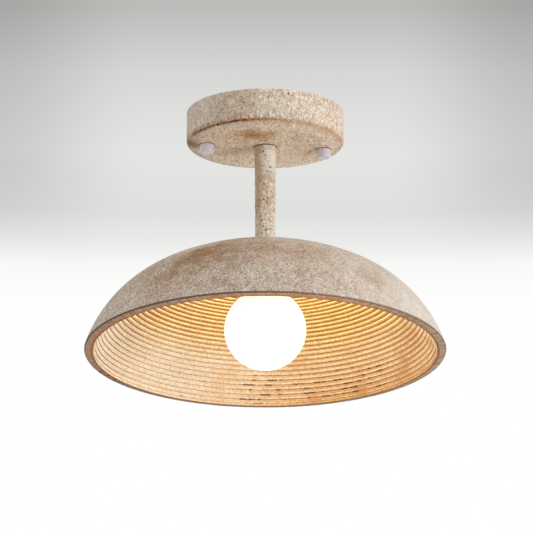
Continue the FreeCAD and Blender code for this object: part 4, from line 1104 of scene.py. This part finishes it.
wear("lamp_base", moulded("lamp_ceramic", paint(240, 238, 232), 0.4))
wear("lamp_pins", brass)
wear("lamp_board", moulded("board", paint(226, 228, 222), 0.4))
chip_glow, shader, place = finish("chip_yellow")
bead = noise(place, 1400.0, 1.0)
feed(shader, {
    "Base Color": ramp(bead, (0.3, paint(238, 196, 60)), (0.7, paint(250, 222, 96))),
    "Emission Color": ramp(bead, (0.3, (1.0, 0.72, 0.34, 1)), (0.7, (1.0, 0.84, 0.5, 1))),
    "Emission Strength": 2.0, "Roughness": 0.35})
wear("lamp_chips", chip_glow)
clear, shader, place = finish("lamp_clear")
smear = noise(place, 300.0, 2.0)
feed(shader, {
    "Base Color": ramp(smear, (0.3, (0.98, 0.98, 0.97, 1)), (0.7, (1, 1, 1, 1))),
    "Roughness": fade(smear, 0.3, 0.7, 0.03, 0.12), "Transmission Weight": 1.0, "IOR": 1.49})
wear("lamp_cover", clear)


# ---- Globe ----
# A blown opal ball with a straight neck, lit from within by the capsule lamp. It looks
# evenly white; the light that it casts is warmer and falls off towards its neck.

opal, shader, place = finish("opal_glass")
x, y, z = axes(place)
seen = add(opal.node_tree, "ShaderNodeLightPath").outputs["Is Camera Ray"]
cast_light = ramp(fade(z, -0.192, -0.176), (0.0, (1.0, 0.92, 0.59, 1)),
                  (1.0, (0.14, 0.07, 0.03, 1)))
feed(shader, {
    "Base Color": ramp(noise(place, 260.0, 2.0), (0.3, paint(244, 242, 238)),
                       (0.7, paint(252, 251, 249))),
    "Emission Color": blend(seen, cast_light, (0.1, 0.1, 0.1, 1)),
    "Emission Strength": 6.9, "Roughness": 0.12, "Specular IOR Level": 0.25})
ball_level = -220.5


def ball_wall(radius, end, count):
    """Corners up the ball's wall, from its lowest point to that angle round its middle."""
    angles = [math.radians(end * k / count) for k in range(count + 1)]
    return [(radius * math.sin(a), ball_level - radius * math.cos(a), 9) for a in angles]


neck = [(20.5, -186, 6), (20.5, -175.8, 1), (20.2, -175.4, 1), (18.7, -175.4, 1),
        (18.4, -175.8, 6)]
globe = turned("blown_globe", ball_wall(39.5, 148.7, 36) + neck +
               ball_wall(37.7, 150.78, 24)[::-1], 128, opal)
place_piece(globe, "globe", "globe")


# ---- Cap nuts ----
# Two white plastic caps close the canopy on its studs. Each is moulded round a threaded
# brass insert.

for name, side in (("left", -1), ("right", 1)):
    cap = turned(f"cap_nut_{name}_moulded", [
        (0, -43.25, 2), (1.6, -43.3, 1), (4.9, -43.4, 1), (5.7, -43.2, 1), (6.35, -42.75, 1),
        (6.7, -42.15, 1), (6.8, -41.5, 3), (6.8, -35.25, 1), (6.55, canopy_floor, 2),
        (3.2, canopy_floor, 3), (3.2, -42, 2), (0, -42, 9)], 64, white_plastic)
    cap.data.transform(Matrix.Translation((side * stud_span / 2 * mm, 0, 0)))
    place_piece(cap, "cap_nut_" + name, name + "_cap_nut")
    wear("cap_insert_" + name, brass)
